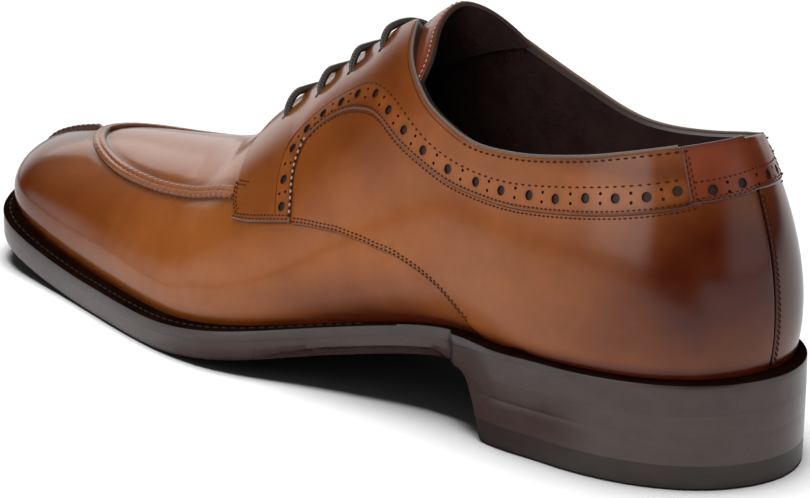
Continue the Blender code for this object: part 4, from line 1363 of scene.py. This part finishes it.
def buildTongue():
    stations, rises, level = tongueGrid()
    base = lastPoint(stations, rises)
    edges = [np.linalg.norm(base - side, axis=-1) for side in (base[:1], base[:, :1], base[:, -1:])]
    height = level + rolledHeight(np.min(edges, axis=0), -tongue["edgeDrop"], 0.0, tongue["edgeRoll"])
    points = onLast(stations, rises, height)
    piece = panelPiece("tongueLeather", stations, rises, height, level - tongue["thick"],
                       [redCalf, liningLeather])
    borders = np.concatenate([points[0], points[:, 0], points[:, -1]])
    paintPatinaAndShade(piece, burnishAndShadeAt, borders=borders, borderReach=tongue["inkAndShadeReach"])
    finishPiece(piece, None, ("tongue",), smoothAngle=50.0)


buildTongue()


# Raised seams: two leather edges pinched together by the stitches
ridge = {
    "across": 19, "crown": 0.8, "grooveWidth": 0.2, "pinchPower": 5, "pinchIn": 0.35, "endRun": 2.0,
    "endHeight": 0.35, "footIn": 0.9, "sunk": 0.6,
}


def ridgePiece(name, path, normals, half, height, pitch, dent, groove, slant, calm):
    side = unit(np.cross(np.gradient(path, axis=0), normals))
    run = runAlong(path)
    across = np.linspace(-1.0, 1.0, ridge["across"])
    profile = np.sqrt(np.clip(1.0 - across**2, 0.0, 1.0)) ** ridge["crown"]
    profile = profile * (1.0 - groove * bell(across, ridge["grooveWidth"]))
    phase = run[:, None] / pitch + slant * across[None, :] + np.where(across > 0, 0.5, 0.0)[None, :]
    pinch = (0.5 + 0.5 * np.cos(2 * np.pi * phase)) ** ridge["pinchPower"]
    strength = dent * (1.0 - calm[:, None])
    up = height[:, None] * profile[None, :] * (1.0 - strength * pinch)
    width = half * (1.0 - ridge["pinchIn"] * strength * pinch)
    fade = np.minimum(1.0, np.minimum(run, run[-1] - run) / ridge["endRun"])[:, None]
    up = up * (ridge["endHeight"] + (1.0 - ridge["endHeight"]) * fade)
    top = path[:, None] + side[:, None] * (across * width)[..., None] + normals[:, None] * up[..., None]
    footIn = half * ridge["footIn"] * np.array([1.0, -1.0])
    floor = path[:, None] + side[:, None] * footIn[None, :, None] - normals[:, None] * ridge["sunk"]
    return tubePiece(name, np.concatenate([top, floor, top[:, :1]], axis=1))


def seamShade(places):
    return np.clip(apron["shadeLeast"] + apron["shadeShare"] * burnishAndShadeAt(places), 0.0, 1.0)


def toeSeamShade(places):
    return np.full(len(places), apron["toeShade"])


def buildSeams():
    y = apronLine[:, 1]
    calm = apron["calm"] * ease((y - apron["calmFrom"]) / apron["calmRun"])
    frontLower = apron["frontLower"] * ease((y - apron["frontLowerFrom"]) / apron["frontLowerRun"])
    farLower = apron["farLower"] * ease(apronLine[:, 0] / apron["farLowerRun"])
    height = apron["height"] * (1.0 - np.maximum(frontLower, farLower))
    piece = ridgePiece("apronSeam", apronLine, apronNormals, apron["half"], height, apron["stitchPitch"],
                       apron["dent"], apron["groove"], apron["slant"], calm)
    sides = apron["half"] * unit(np.cross(np.gradient(apronLine, axis=0), apronNormals))
    feet = np.concatenate([apronLine + sides, apronLine - sides])
    # the ridge is darker towards its feet: painted shade in the creases beside it
    paintPatinaAndShade(piece, seamShade, borders=feet, borderReach=apron["inkAndShadeReach"])
    finishPiece(piece, [seamCalf], ("apron_seam",), smoothAngle=60.0)
    rises = np.linspace(apron["toeTop"], apron["toeFoot"], apron["toeSteps"])
    path = lastPoint(float(sideCount), rises)
    normals = lastNormal(float(sideCount), rises)
    height = np.full(len(path), apron["toeHeight"])
    piece = ridgePiece("toeSeam", path, normals, apron["toeHalf"], height, apron["toePitch"],
                       apron["toeDent"], apron["toeGroove"], apron["toeSlant"], np.zeros(len(path)))
    paintPatinaAndShade(piece, toeSeamShade)
    finishPiece(piece, [seamCalf], ("toe_seam",), smoothAngle=60.0)


buildSeams()


# Laces: straight bars lying low over the facings, each end turned down through its eyelet
lace = {
    "wide": 1.15, "thick": 0.95, "sides": 18, "samples": 45, "smoothing": 6, "lean": (0.0, 1.0, 0.35),
    # the bar is taut between its two bends and rolls down into the eyelets beyond them
    "bend": 0.62, "deep": -0.7, "over": 2.8,
    "arches": [0.4, 0.4, 0.4, 2.2], "farBends": [0.62, 0.62, 0.62, 0.95],
}


# a cord along a path, its flatter side turned to the level direction
def cordPiece(name, path, wide, thick, sides, level):
    tangent = unit(np.gradient(path, axis=0))
    sideways = unit(np.cross(tangent, level))
    upward = np.cross(sideways, tangent)
    turn = np.linspace(0.0, 2 * np.pi, sides + 1)
    ring = wide * np.cos(turn)[None, :, None] * sideways[:, None]
    ring = ring + thick * np.sin(turn)[None, :, None] * upward[:, None]
    return tubePiece(name, path[:, None] + ring)


def buildLaces():
    turn = np.linspace(0.0, np.pi / 2, lace["samples"] // 3)
    out = 1.0 - np.cos(turn)
    height = lace["deep"] + (lace["over"] - lace["deep"]) * np.sin(turn)
    for number, (station, rise) in enumerate(facing["eyelets"], start=1):
        ends = []
        for inner, bend in ((False, lace["bend"]), (True, lace["farBends"][number - 1])):
            share = 1.0 - (1.0 - bend) * out
            ends.append(onLast(sideStation(station, inner), 1.0 - (1.0 - rise) * share, height))
        along = np.linspace(0.0, 1.0, lace["samples"])[1:-1, None]
        bar = ends[0][-1] + (ends[1][-1] - ends[0][-1]) * along
        bar[:, 2] += (lace["arches"][number - 1] * 4 * along * (1.0 - along))[:, 0]
        path = smoothLine(np.concatenate([ends[0], bar, ends[1][::-1]]), lace["smoothing"])
        piece = cordPiece(f"laceBar{number}", path, lace["wide"], lace["thick"], lace["sides"], lace["lean"])
        finishPiece(piece, [laceCord], (f"lace_bar_{number}",), smoothAngle=60.0)


buildLaces()


# Bound edge along the top line, rolled over from the lining
binding = {"wide": 0.50, "thick": 0.45, "height": 0.85, "from": 6.55, "to": 1.42, "sides": 10}


def buildBinding():
    for inner in (False, True):
        stations, rises, _ = facingGrid(inner)
        keep = (facingLine[:, 2] < binding["from"]) & (facingLine[:, 2] > binding["to"])
        stations, rises = stations[keep, -1], rises[keep, -1]
        path = onLast(stations, rises, binding["height"])
        normals = lastNormal(stations, rises)
        name = "collarBindingInner" if inner else "collarBindingOuter"
        piece = cordPiece(name, path, binding["wide"], binding["thick"], binding["sides"], normals)
        finishPiece(piece, [boundEdge], (), smoothAngle=60.0)


buildBinding()


# Sole, welt and heel
soleStations = np.arange(ringCount * sole["columnsPerStation"]) / sole["columnsPerStation"]


def atHeight(outline, z):
    return np.concatenate([outline, np.broadcast_to(z, outline.shape[:-1])[..., None]], axis=-1)


# draws a closed loop in towards its middle line; 0 is on that line
def towardMiddle(loop, share):
    partner = loop[(-np.arange(len(loop))) % len(loop)]
    middle = (loop + partner) / 2
    return middle + (loop - middle) * share


# the rounded edge: share of the rounding's reach, drop below its upper end
soleRounding = [(0.0, -0.2), (0.1, 0.2), (1 / 3, 0.6), (0.62, 0.96)]
treadShares = [0.75, 0.5, 0.25, 0.0]


def buildOutsole():
    side = soleOutline(soleStations)
    y = side[:, 1]
    waist = ease((y - sole["wingFront"]) / sole["waistStart"])
    waist = waist * ease((sole["waistEnd"] - y) / sole["waistEndRun"])
    heel = ease((sole["wingFront"] - sole["breastClear"] - y) / sole["breastClear"])
    under = (sole["edgeRound"] + (sole["waistRound"] - sole["edgeRound"]) * waist) * (1.0 - heel)
    low = soleBottom(y) + sole["treadEdge"] + sole["waistRise"] * waist
    high = outsoleTop(y) - sole["joint"]
    shelf = atHeight(side, high)
    loops = [towardMiddle(shelf, 0.0), shelf, atHeight(side, (high + low) / 2)]
    for share, drop in soleRounding:
        loops.append(atHeight(soleOutline(soleStations, under * share), low - drop))
    tread = soleOutline(soleStations, under)
    treadLoop = atHeight(tread, soleBottom(tread[:, 1]))
    loops.append(treadLoop)
    for share in treadShares:
        inner = towardMiddle(treadLoop, share)
        inner[:, 2] = soleBottom(inner[:, 1])
        loops.append(inner)
    piece = loopPiece("leatherSole", loops)
    finishPiece(piece, [soleEdge], ("outsole",), smoothAngle=35.0)


welt = {
    "channelFrom": 104.0, "channelRun": 16.0, "channelBelow": -0.3, "plainHeight": -0.14,
    "inside": 1.6, "insideLip": 0.1, "ledgeFacing": 0.25,
    # shares of the overhang and heights over the feather edge, from the upper out to the edge
    "profile": [
        (0.06, 0.10), (0.13, -0.16), (0.45, -0.10), (0.54, -0.12), (0.60, -0.34), (0.66, -0.12),
        (0.86, -0.14), (0.95, -0.28), (1.0, -0.62),
    ],
}


def buildWelt():
    edge = feather(soleStations)
    outward = featherOutward(soleStations)
    reach = np.linalg.norm(soleOutline(soleStations) - edge, axis=1)
    y = edge[:, 1]
    top = soleTop(y)
    floor = outsoleTop(y) + sole["joint"]
    channel = ease((y - welt["channelFrom"]) / welt["channelRun"])
    inside = edge - welt["inside"] * outward
    loops = [atHeight(inside, floor), atHeight(inside, top + welt["insideLip"])]
    for share, height in welt["profile"]:
        if share < 1.0 and height < welt["channelBelow"]:
            height = height * channel + welt["plainHeight"] * (1.0 - channel)
        loops.append(atHeight(edge + outward * (share * reach)[:, None], top + height))
    loops.append(atHeight(edge + outward * reach[:, None], floor))
    loops.append(loops[0])
    piece = loopPiece("weltStrip", loops)
    finishPiece(piece, [weltEdge, weltLedge], ("welt",), smoothAngle=40.0)
    for face in piece.data.polygons:
        face.material_index = int(face.normal.z > welt["ledgeFacing"])


def heelOutline(share, inset):
    front = sole["heelFront"] - sole["breastSlope"] * (1.0 - share)
    front = front + sole["breastFlare"] * share ** sole["flarePower"]
    inset = inset + sole["heelTaper"] * (1.0 - share)
    sides = np.linspace(*sole["heelStations"])
    outerEnd = sides[soleOutline(sides, inset)[:, 1] < front][-1]
    innerEnd = sides[soleOutline(ringCount - sides, inset)[:, 1] < front][-1]
    outer = soleOutline(np.linspace(0.0, outerEnd, sole["heelSteps"]), inset)
    inner = soleOutline(ringCount - np.linspace(0.0, innerEnd, sole["heelSteps"]), inset)[:0:-1]
    across = np.linspace(0.0, 1.0, sole["breastSteps"])[1:-1]
    breastX = outer[-1, 0] + (inner[0, 0] - outer[-1, 0]) * across
    breastY = front - sole["breastHollow"] * np.sin(np.pi * across)
    return np.concatenate([outer, np.stack([breastX, breastY], axis=1), inner])


# share of the height and inset of each line on the heel's side
stackProfile = [
    (0.0, 0.0), (0.2, 0.0), (0.4, 0.0), (0.58, 0.0), (0.590, 0.02), (0.600, 0.0), (0.7, 0.0), (0.8, 0.0),
    (0.88, 0.0), (0.94, 0.0), (1.0, 0.0),
]
topPieceProfile = [(0.0, 0.9), (0.05, 0.35), (0.14, 0.05), (0.3, 0.0), (1.0, 0.0)]


def heelLoops(profile, shareFrom, shareTo, zFrom, zTo):
    loops = []
    for part, inset in profile:
        outline = heelOutline(shareFrom + (shareTo - shareFrom) * part, inset)
        roof = soleBottom(outline[:, 1]) - sole["joint"] if zTo is None else zTo
        loops.append(atHeight(outline, zFrom + (roof - zFrom) * part))
    return [towardMiddle(loops[0], 0.0)] + loops + [towardMiddle(loops[-1], 0.0)]


def buildHeel():
    seam = sole["topPiece"] / (sole["seatHeight"] + sole["seatRise"])
    liftsFoot = sole["topPiece"] + sole["joint"]
    piece = loopPiece("heelLifts", heelLoops(stackProfile, seam, 1.0, liftsFoot, None))
    finishPiece(piece, [heelEdge], ("heel_stack",), smoothAngle=30.0)
    piece = loopPiece("heelTopPiece", heelLoops(topPieceProfile, 0.0, seam, 0.0, sole["topPiece"]))
    finishPiece(piece, [heelRubber], ("heel_top_piece",), smoothAngle=30.0)


buildOutsole()
buildWelt()
buildHeel()
insole = frame["nodes"]["insole"]
insole.data.materials.clear()
insole.data.materials.append(liningLeather)


# Stitching: one thread capsule modelled once, then laid along every row
stitching = {
    # pitch, length, thickness and lift of each kind of stitch
    "plain": (1.5, 0.95, 0.23, 0.06), "bead": (1.95, 1.1, 0.34, 0.06), "fold": (1.0, 1.6, 0.14, -0.05),
    "dotted": (2.3, 1.1, 0.25, 0.06), "collar": (2.2, 1.3, 0.28, 0.08), "backSeam": (1.5, 1.1, 0.22, 0.05),
    "welt": (3.2, 2.5, 0.36, 0.12),
    "endMargin": 0.3, "lookAhead": 0.5,
    # twin rows: distance from the edge, shift along it in pitches
    "twins": [(1.0, 0.0), (2.1, 0.5)],
    "dottedBelow": 6.4, "bandIn": 1.3, "underBand": 0.0045, "bandFrontIn": 1.2, "cornerSkip": 4,
    "collarIn": 1.4, "collarFrom": 6.2, "collarSewn": 4.6, "collarEnd": 2,
    # front of the facing and the tack across it: station, rise
    "front": [(8.00, 0.385), (8.12, 0.42), (8.20, 0.46), (8.26, 0.50)], "frontStep": 0.5, "frontAway": 0.035,
    "tack": [(8.21, 0.482), (8.09, 0.469), (7.97, 0.458)], "tackStep": 0.4, "tackAway": 0.010,
    "seamRises": (0.01, 0.40, 60), "seamFrom": 0.02, "seamAway": 0.03,
    "weltFrom": 118.0, "weltAcross": 0.60, "weltSunk": 0.25,
}
# the rows on the heel tab, in stations and rises
tabSewing = {
    "sunk": 0.12, "steps": 70, "frontFrom": 0.405, "frontBelowRim": 0.02, "frontSteps": 40,
    "leanFrom": 0.4, "leanRun": 0.13, "frontAway": 0.052, "lowTo": 1.2, "lowAway": 0.0056,
    "upperTo": 1.25, "upperRise": 0.048, "upperSunk": 0.1,
}


def capsuleShape():
    deselectAll()
    bpy.ops.mesh.primitive_uv_sphere_add(segments=6, ring_count=5, radius=1.0)
    shape, sides = takeShape()
    return shape[:, [2, 0, 1]], sides


capsule, capsuleFaces = capsuleShape()


def alongPath(values, run, spots):
    return np.stack([np.interp(spots, run, values[:, k]) for k in range(3)], axis=1)


# thread beads along a path, centred on evenly spaced spots
def sewRow(path, normals, kind, shift=0.0):
    pitch, length, thick, lift = stitching[kind]
    run = runAlong(path)
    spots = np.arange(pitch * (0.5 + shift), run[-1] - stitching["endMargin"] * pitch, pitch)
    up = unit(alongPath(normals, run, spots))
    ahead = stitching["lookAhead"]
    along = unit(alongPath(path, run, spots + ahead) - alongPath(path, run, spots - ahead))
    side = np.cross(up, along)
    beads = (alongPath(path, run, spots) + lift * up)[:, None]
    beads = beads + (capsule[None, :, 0:1] * length / 2) * along[:, None]
    beads = beads + (capsule[None, :, 1:2] * thick) * side[:, None]
    return beads + (capsule[None, :, 2:3] * thick) * up[:, None]


def joinedBeads(name, rows, material):
    piece = repeatedPiece(name, np.concatenate(rows), capsuleFaces)
    facesOutward(piece)
    finishPiece(piece, [material], (), smoothAngle=80.0)


def sewOnLast(stations, rises, height, kind, shift=0.0):
    return sewRow(onLast(stations, rises, height), lastNormal(stations, rises), kind, shift)


def nearestTo(values, wanted):
    return int(np.argmin(np.abs(values - wanted)))


# the place on each row of a panel at a distance from the row's start
def placesAlongRows(stations, rises, distance):
    found = []
    for line, station, rise in zip(lastPoint(stations, rises), stations, rises):
        run = runAlong(line)
        found.append((np.interp(distance, run, station), np.interp(distance, run, rise)))
    return np.array(found).T


# which row of the facing's grid starts nearest to one of its marks
def facingRowAt(mark):
    station, rise, _ = facing["rows"][mark]
    return int(np.argmin(np.abs(facingLine[:, 0] - station) + np.abs(facingLine[:, 1] - rise)))


# a line on the facing at a distance from its lower edge or from its rim
def facingRow(distance, fromRow, toRow, inner, fromRim=False):
    stations, rises, _ = facingGrid(inner)
    way = -1 if fromRim else 1
    return placesAlongRows(stations[fromRow:toRow, ::way], rises[fromRow:toRow, ::way], distance)


def quarterRow(distance, inner):
    stations, rises, line = quarterGrid(inner)
    keep = line[:, 3] > quarter["sewnAbove"]
    return placesAlongRows(stations[keep], rises[keep], distance)


# rows along the punched band, and pale beads in the gaps of its front row: painted glints on the thread
def sewBand(inner):
    top = facing["top"]
    bandFront = facingRowAt(facing["bandRow"])
    stations, rises = smoothMarks(facing["bandTop"], facing["markStep"])
    dotted = nearestTo(stations, stitching["dottedBelow"])
    stations = sideStation(stations, inner)
    below = facingLine[bandFront:]
    underBand = below[:, 1] - stitching["underBand"]
    front = facingRow(stitching["bandFrontIn"], facingRowAt(facing["cornerRow"]), bandFront, inner)
    rows = [
        sewOnLast(stations[:dotted], rises[:dotted], top, "fold"),
        sewOnLast(stations[dotted:], rises[dotted:], top, "dotted"),
        sewOnLast(*facingRow(stitching["bandIn"], bandFront, len(facingLine), inner), top, "plain"),
        sewOnLast(sideStation(below[:, 0], inner), underBand, quarter["top"], "plain"),
        sewOnLast(*front, top, "bead"),
    ]
    # the front row again, half a pitch on, in pale thread: painted glints
    return rows, sewOnLast(*front, top, "bead", 0.5)


def sewTab(distance, shift, inner):
    height = heelTab["top"] - tabSewing["sunk"]
    tabFront = sideStation(heelTab["frontLow"] + heelTab["frontLean"], inner)
    frontTop = rimRise(tabFront, facing["throatEnd"])[0] - tabSewing["frontBelowRim"]
    edge = np.linspace(tabSewing["frontFrom"], frontTop, tabSewing["frontSteps"])
    lean = heelTab["frontLean"] * (edge - tabSewing["leanFrom"]) / tabSewing["leanRun"]
    front = heelTab["frontLow"] + lean - tabSewing["frontAway"] * distance
    along = np.linspace(0.0, tabSewing["lowTo"], tabSewing["steps"])
    low = tabLow(along) + tabSewing["lowAway"] * distance
    return [
        sewOnLast(sideStation(front, inner), edge, height, "plain", shift),
        sewOnLast(sideStation(along, inner), low, height, "plain", shift),
    ]


# twin rows along the edges of facing, quarter and tab; the back seam is sewn on its inner side
def sewTwins(inner):
    top = facing["top"]
    corner = facingRowAt(facing["cornerRow"])
    rows = []
    for distance, shift in stitching["twins"]:
        lower = facingRow(distance, stitching["cornerSkip"], corner + 1, inner)
        rows.append(sewOnLast(*lower, top, "plain", shift))
        rows.append(sewOnLast(*quarterRow(distance, inner), quarter["top"], "plain", shift))
        stations, rises = smoothMarks(stitching["front"], stitching["frontStep"])
        stations = stations - stitching["frontAway"] * distance
        rows.append(sewOnLast(sideStation(stations, inner), rises, top, "plain", shift))
        tack = np.array(stitching["tack"]) + (0.0, stitching["tackAway"] * distance)
        stations, rises = smoothMarks(tack, stitching["tackStep"])
        rows.append(sewOnLast(sideStation(stations, inner), rises, top, "plain", shift))
        if inner:
            rises = np.linspace(*stitching["seamRises"])
            beside = np.full(len(rises), stitching["seamFrom"] + stitching["seamAway"] * distance)
            rows.append(sewOnLast(sideStation(beside, inner), rises, quarter["top"], "backSeam", shift))
        rows += sewTab(distance, shift, inner)
    return rows


def sewCollar(inner):
    start = nearestTo(facingLine[:, 2], stitching["collarFrom"])
    sewn = nearestTo(facingLine[:, 2], stitching["collarSewn"])
    end = len(facingLine) - stitching["collarEnd"]
    along = np.linspace(0.0, tabSewing["upperTo"], tabSewing["steps"])
    upperRow = tabLow(along) + tabSewing["upperRise"]
    upperHeight = heelTab["top"] - tabSewing["upperSunk"]
    return [
        sewOnLast(*facingRow(stitching["collarIn"], start, sewn, inner, True), facing["top"], "fold"),
        sewOnLast(*facingRow(stitching["collarIn"], sewn, end, inner, True), facing["top"], "collar"),
        sewOnLast(sideStation(along, inner), upperRow, upperHeight, "plain"),
    ]


def sewTongue():
    stations, rises, level = tongueGrid()
    middle = lastPoint(stations, rises)[:, stations.shape[1] // 2]
    row = nearestTo(runAlong(middle), tongue["stitchIn"])
    sewn = slice(tongue["stitchEnds"], -tongue["stitchEnds"])
    return sewOnLast(stations[row, sewn], rises[row, sewn], level[row, sewn], "plain")


def sewWelt():
    ring = soleStations[feather(soleStations)[:, 1] > stitching["weltFrom"]]
    edge = feather(ring)
    reach = np.linalg.norm(soleOutline(ring) - edge, axis=1)
    line = edge + featherOutward(ring) * (stitching["weltAcross"] * reach)[:, None]
    path = atHeight(line, soleTop(edge[:, 1]) - stitching["weltSunk"])
    return sewRow(path, np.broadcast_to((0.0, 0.0, 1.0), path.shape), "welt")


def buildStitching():
    rows, glintRows = [], []
    for inner in (False, True):
        bandRows, glintRow = sewBand(inner)
        rows += bandRows + sewTwins(inner) + sewCollar(inner)
        glintRows.append(glintRow)
    joinedBeads("panelStitches", rows, brownThread)
    joinedBeads("bandFrontGlintBeads", glintRows, paleThreadAndGlint)
    joinedBeads("tongueStitches", [sewTongue()], paleThreadAndGlint)
    joinedBeads("weltStitches", [sewWelt()], weltThread)


buildStitching()


# Floor and soft studio light: a table lit to white, mirrored more dimly, and a bright backdrop behind
studio = {
    "floorSize": 12.0, "floorColour": (0.10, 0.10, 0.10), "floorGrain": (0.104, 0.104, 0.104),
    "grainScale": 60.0, "floorRough": 0.9, "floorGlow": 0.95, "glowNear": 0.35, "glowFar": 1.1,
    # the table in the polish: how dim, where it ends, and the shadow beside the shoe
    "dimFloor": 0.002, "tableDim": 0.3, "tableCentre": (-0.16, 0.19, 0.0), "tableNear": 0.40,
    "tableFar": 0.52, "tableWay": ((0.85, -0.53, 0.0), -0.1, 0.2),
    "shadowNear": 0.055, "shadowFar": 0.095, "shadowBack": (-0.13, -0.08), "shadowFront": (0.01, 0.07),
    # glows that only the polish mirrors: direction, where the ramp starts and ends, strength
    "backdrop": ((0.70, 0.714, 0.0), 0.66, 0.87, 1.05), "lowGlow": ((-0.643, 0.766, 0.0), 0.90, 0.97, 0.75),
    "heelGlow": ((0.34, -0.94, 0.0), 0.82, 0.97, 0.75), "sideGlow": ((-0.949, 0.202, 0.242), 0.88, 0.97, 1.8),
    "lowGlowTop": (0.1, 0.3), "zenith": 0.5, "zenithRamp": (0.3, 0.95), "ambient": 0.42,
    "lampAim": (0.0, 0.0, 0.04),
    # place, width, height, watts, lights what (shoe, table or nothing), shows in the polish
    "lamps": {
        "topPanel": ((0.1, 0.3, 1.5), 1.0, 1.0, 8.0, "shoe", False),
        "fillPanel": ((-1.3, -0.5, 1.1), 1.4, 1.4, 20.0, "shoe", False),
        "tablePanel": ((0.0, 0.05, 3.0), 1.5, 1.5, 1000.0, "table", False),
        "backPanel": ((0.57, 1.0, 0.96), 1.0, 1.0, 3.0, "nothing", True),
        "leftPanel": ((-0.8, 0.65, 0.58), 0.5, 0.5, 0.35, "nothing", True),
    },
}


def towardWay(tree, direction, way, low, high):
    facingWay = addNode(tree, "ShaderNodeVectorMath", operation="DOT_PRODUCT")
    feed(tree, direction, facingWay, 0)
    facingWay.inputs[1].default_value = way
    return ramp(tree, facingWay.outputs["Value"], low, high)


def without(tree, share):
    return mathNode(tree, "SUBTRACT", 1.0, share)


# how much of the floor is dark in the polish: beyond the table's end and in the shadow
def mirroredDim(tree, place):
    away = addNode(tree, "ShaderNodeVectorMath", operation="DISTANCE")
    feed(tree, place, away, 0)
    away.inputs[1].default_value = studio["tableCentre"]
    beyond = ramp(tree, away.outputs["Value"], studio["tableNear"], studio["tableFar"])
    beyond = mathNode(tree, "MULTIPLY", beyond, without(tree, towardWay(tree, place, *studio["tableWay"])))
    split = addNode(tree, "ShaderNodeSeparateXYZ")
    feed(tree, place, split, "Vector")
    aside = mathNode(tree, "ABSOLUTE", split.outputs["X"])
    near = without(tree, ramp(tree, aside, studio["shadowNear"], studio["shadowFar"]))
    near = mathNode(tree, "MULTIPLY", near, ramp(tree, split.outputs["Y"], *studio["shadowBack"]))
    before = without(tree, ramp(tree, split.outputs["Y"], *studio["shadowFront"]))
    dim = mathNode(tree, "MAXIMUM", mathNode(tree, "MULTIPLY", near, before), studio["tableDim"])
    return mathNode(tree, "MAXIMUM", beyond, dim)


def buildFloor():
    deselectAll()
    bpy.ops.mesh.primitive_plane_add(size=studio["floorSize"], location=(0, 0, 0))
    floor = bpy.context.object
    floor.name = "paleFloor"
    material, tree, shader = newMaterial("palePaper")
    rays = addNode(tree, "ShaderNodeLightPath")
    place = objectPlace(tree)
    grain = noise(tree, place, studio["grainScale"])
    paper = mixColour(tree, grain, studio["floorColour"], studio["floorGrain"])
    dim = mathNode(tree, "MULTIPLY", mirroredDim(tree, place), rays.outputs["Is Glossy Ray"])
    feed(tree, mixColour(tree, dim, paper, (studio["dimFloor"],) * 3), shader, "Base Color")
    far = addNode(tree, "ShaderNodeVectorMath", operation="LENGTH")
    feed(tree, place, far, 0)
    glow = ramp(tree, far.outputs["Value"], studio["glowNear"], studio["glowFar"])
    glow = mathNode(tree, "MULTIPLY", glow, studio["floorGlow"])
    feed(tree, mathNode(tree, "MULTIPLY", rays.outputs["Is Camera Ray"], glow), shader, "Emission Strength")
    shader.inputs["Emission Color"].default_value = (1.0, 1.0, 1.0, 1.0)
    shader.inputs["Roughness"].default_value = studio["floorRough"]
    shader.inputs["Specular IOR Level"].default_value = 0.0
    floor.data.materials.append(material)


# what the polish mirrors is set apart from what lights the leather
def buildSky():
    world = bpy.context.scene.world or bpy.data.worlds.new("studio")
    bpy.context.scene.world = world
    world.use_nodes = True
    tree = world.node_tree
    sky = tree.nodes["Background"]
    direction = addNode(tree, "ShaderNodeTexCoord").outputs["Generated"]
    split = addNode(tree, "ShaderNodeSeparateXYZ")
    feed(tree, direction, split, "Vector")
    mirrored = ramp(tree, split.outputs["Z"], *studio["zenithRamp"])
    mirrored = mathNode(tree, "MULTIPLY", mirrored, studio["zenith"])
    for name in ("backdrop", "lowGlow", "heelGlow", "sideGlow"):
        way, low, high, strength = studio[name]
        glow = mathNode(tree, "MULTIPLY", towardWay(tree, direction, way, low, high), strength)
        if name == "lowGlow":
            above = ramp(tree, split.outputs["Z"], *studio["lowGlowTop"])
            glow = mathNode(tree, "MULTIPLY", glow, without(tree, above))
        mirrored = mathNode(tree, "MAXIMUM", mirrored, glow)
    rays = addNode(tree, "ShaderNodeLightPath")
    strength = mathNode(tree, "SUBTRACT", mirrored, studio["ambient"])
    strength = mathNode(tree, "MULTIPLY_ADD", strength, rays.outputs["Is Glossy Ray"], studio["ambient"])
    strength = mathNode(tree, "MAXIMUM", strength, rays.outputs["Is Camera Ray"])
    sky.inputs["Color"].default_value = (1.0, 1.0, 1.0, 1.0)
    feed(tree, strength, sky, "Strength")

def buildLamps():
    groups = {"shoe": bpy.data.collections.new("shoeLit"), "table": bpy.data.collections.new("tableLit")}
    for piece in list(bpy.context.scene.objects):
        if piece.type == "MESH":
            groups["table" if piece.name == "paleFloor" else "shoe"].objects.link(piece)
    for name, (place, wide, high, power, lights, shows) in studio["lamps"].items():
        place = Vector(place)
        bpy.ops.object.light_add(type="AREA", location=place)
        lamp = bpy.context.object
        lamp.name = name
        lamp.data.shape = "RECTANGLE"
        lamp.data.size = wide
        lamp.data.size_y = high
        lamp.data.energy = power
        lamp.rotation_mode = "QUATERNION"
        lamp.rotation_quaternion = (place - Vector(studio["lampAim"])).to_track_quat("Z", "Y")
        lamp.visible_camera = False
        lamp.visible_diffuse = lights != "nothing"
        lamp.visible_glossy = shows
        if lights in groups:
            lamp.light_linking.receiver_collection = groups[lights]


buildFloor()
buildSky()
buildLamps()
bpy.context.scene.view_settings.view_transform = "Standard"
print("studio lit")
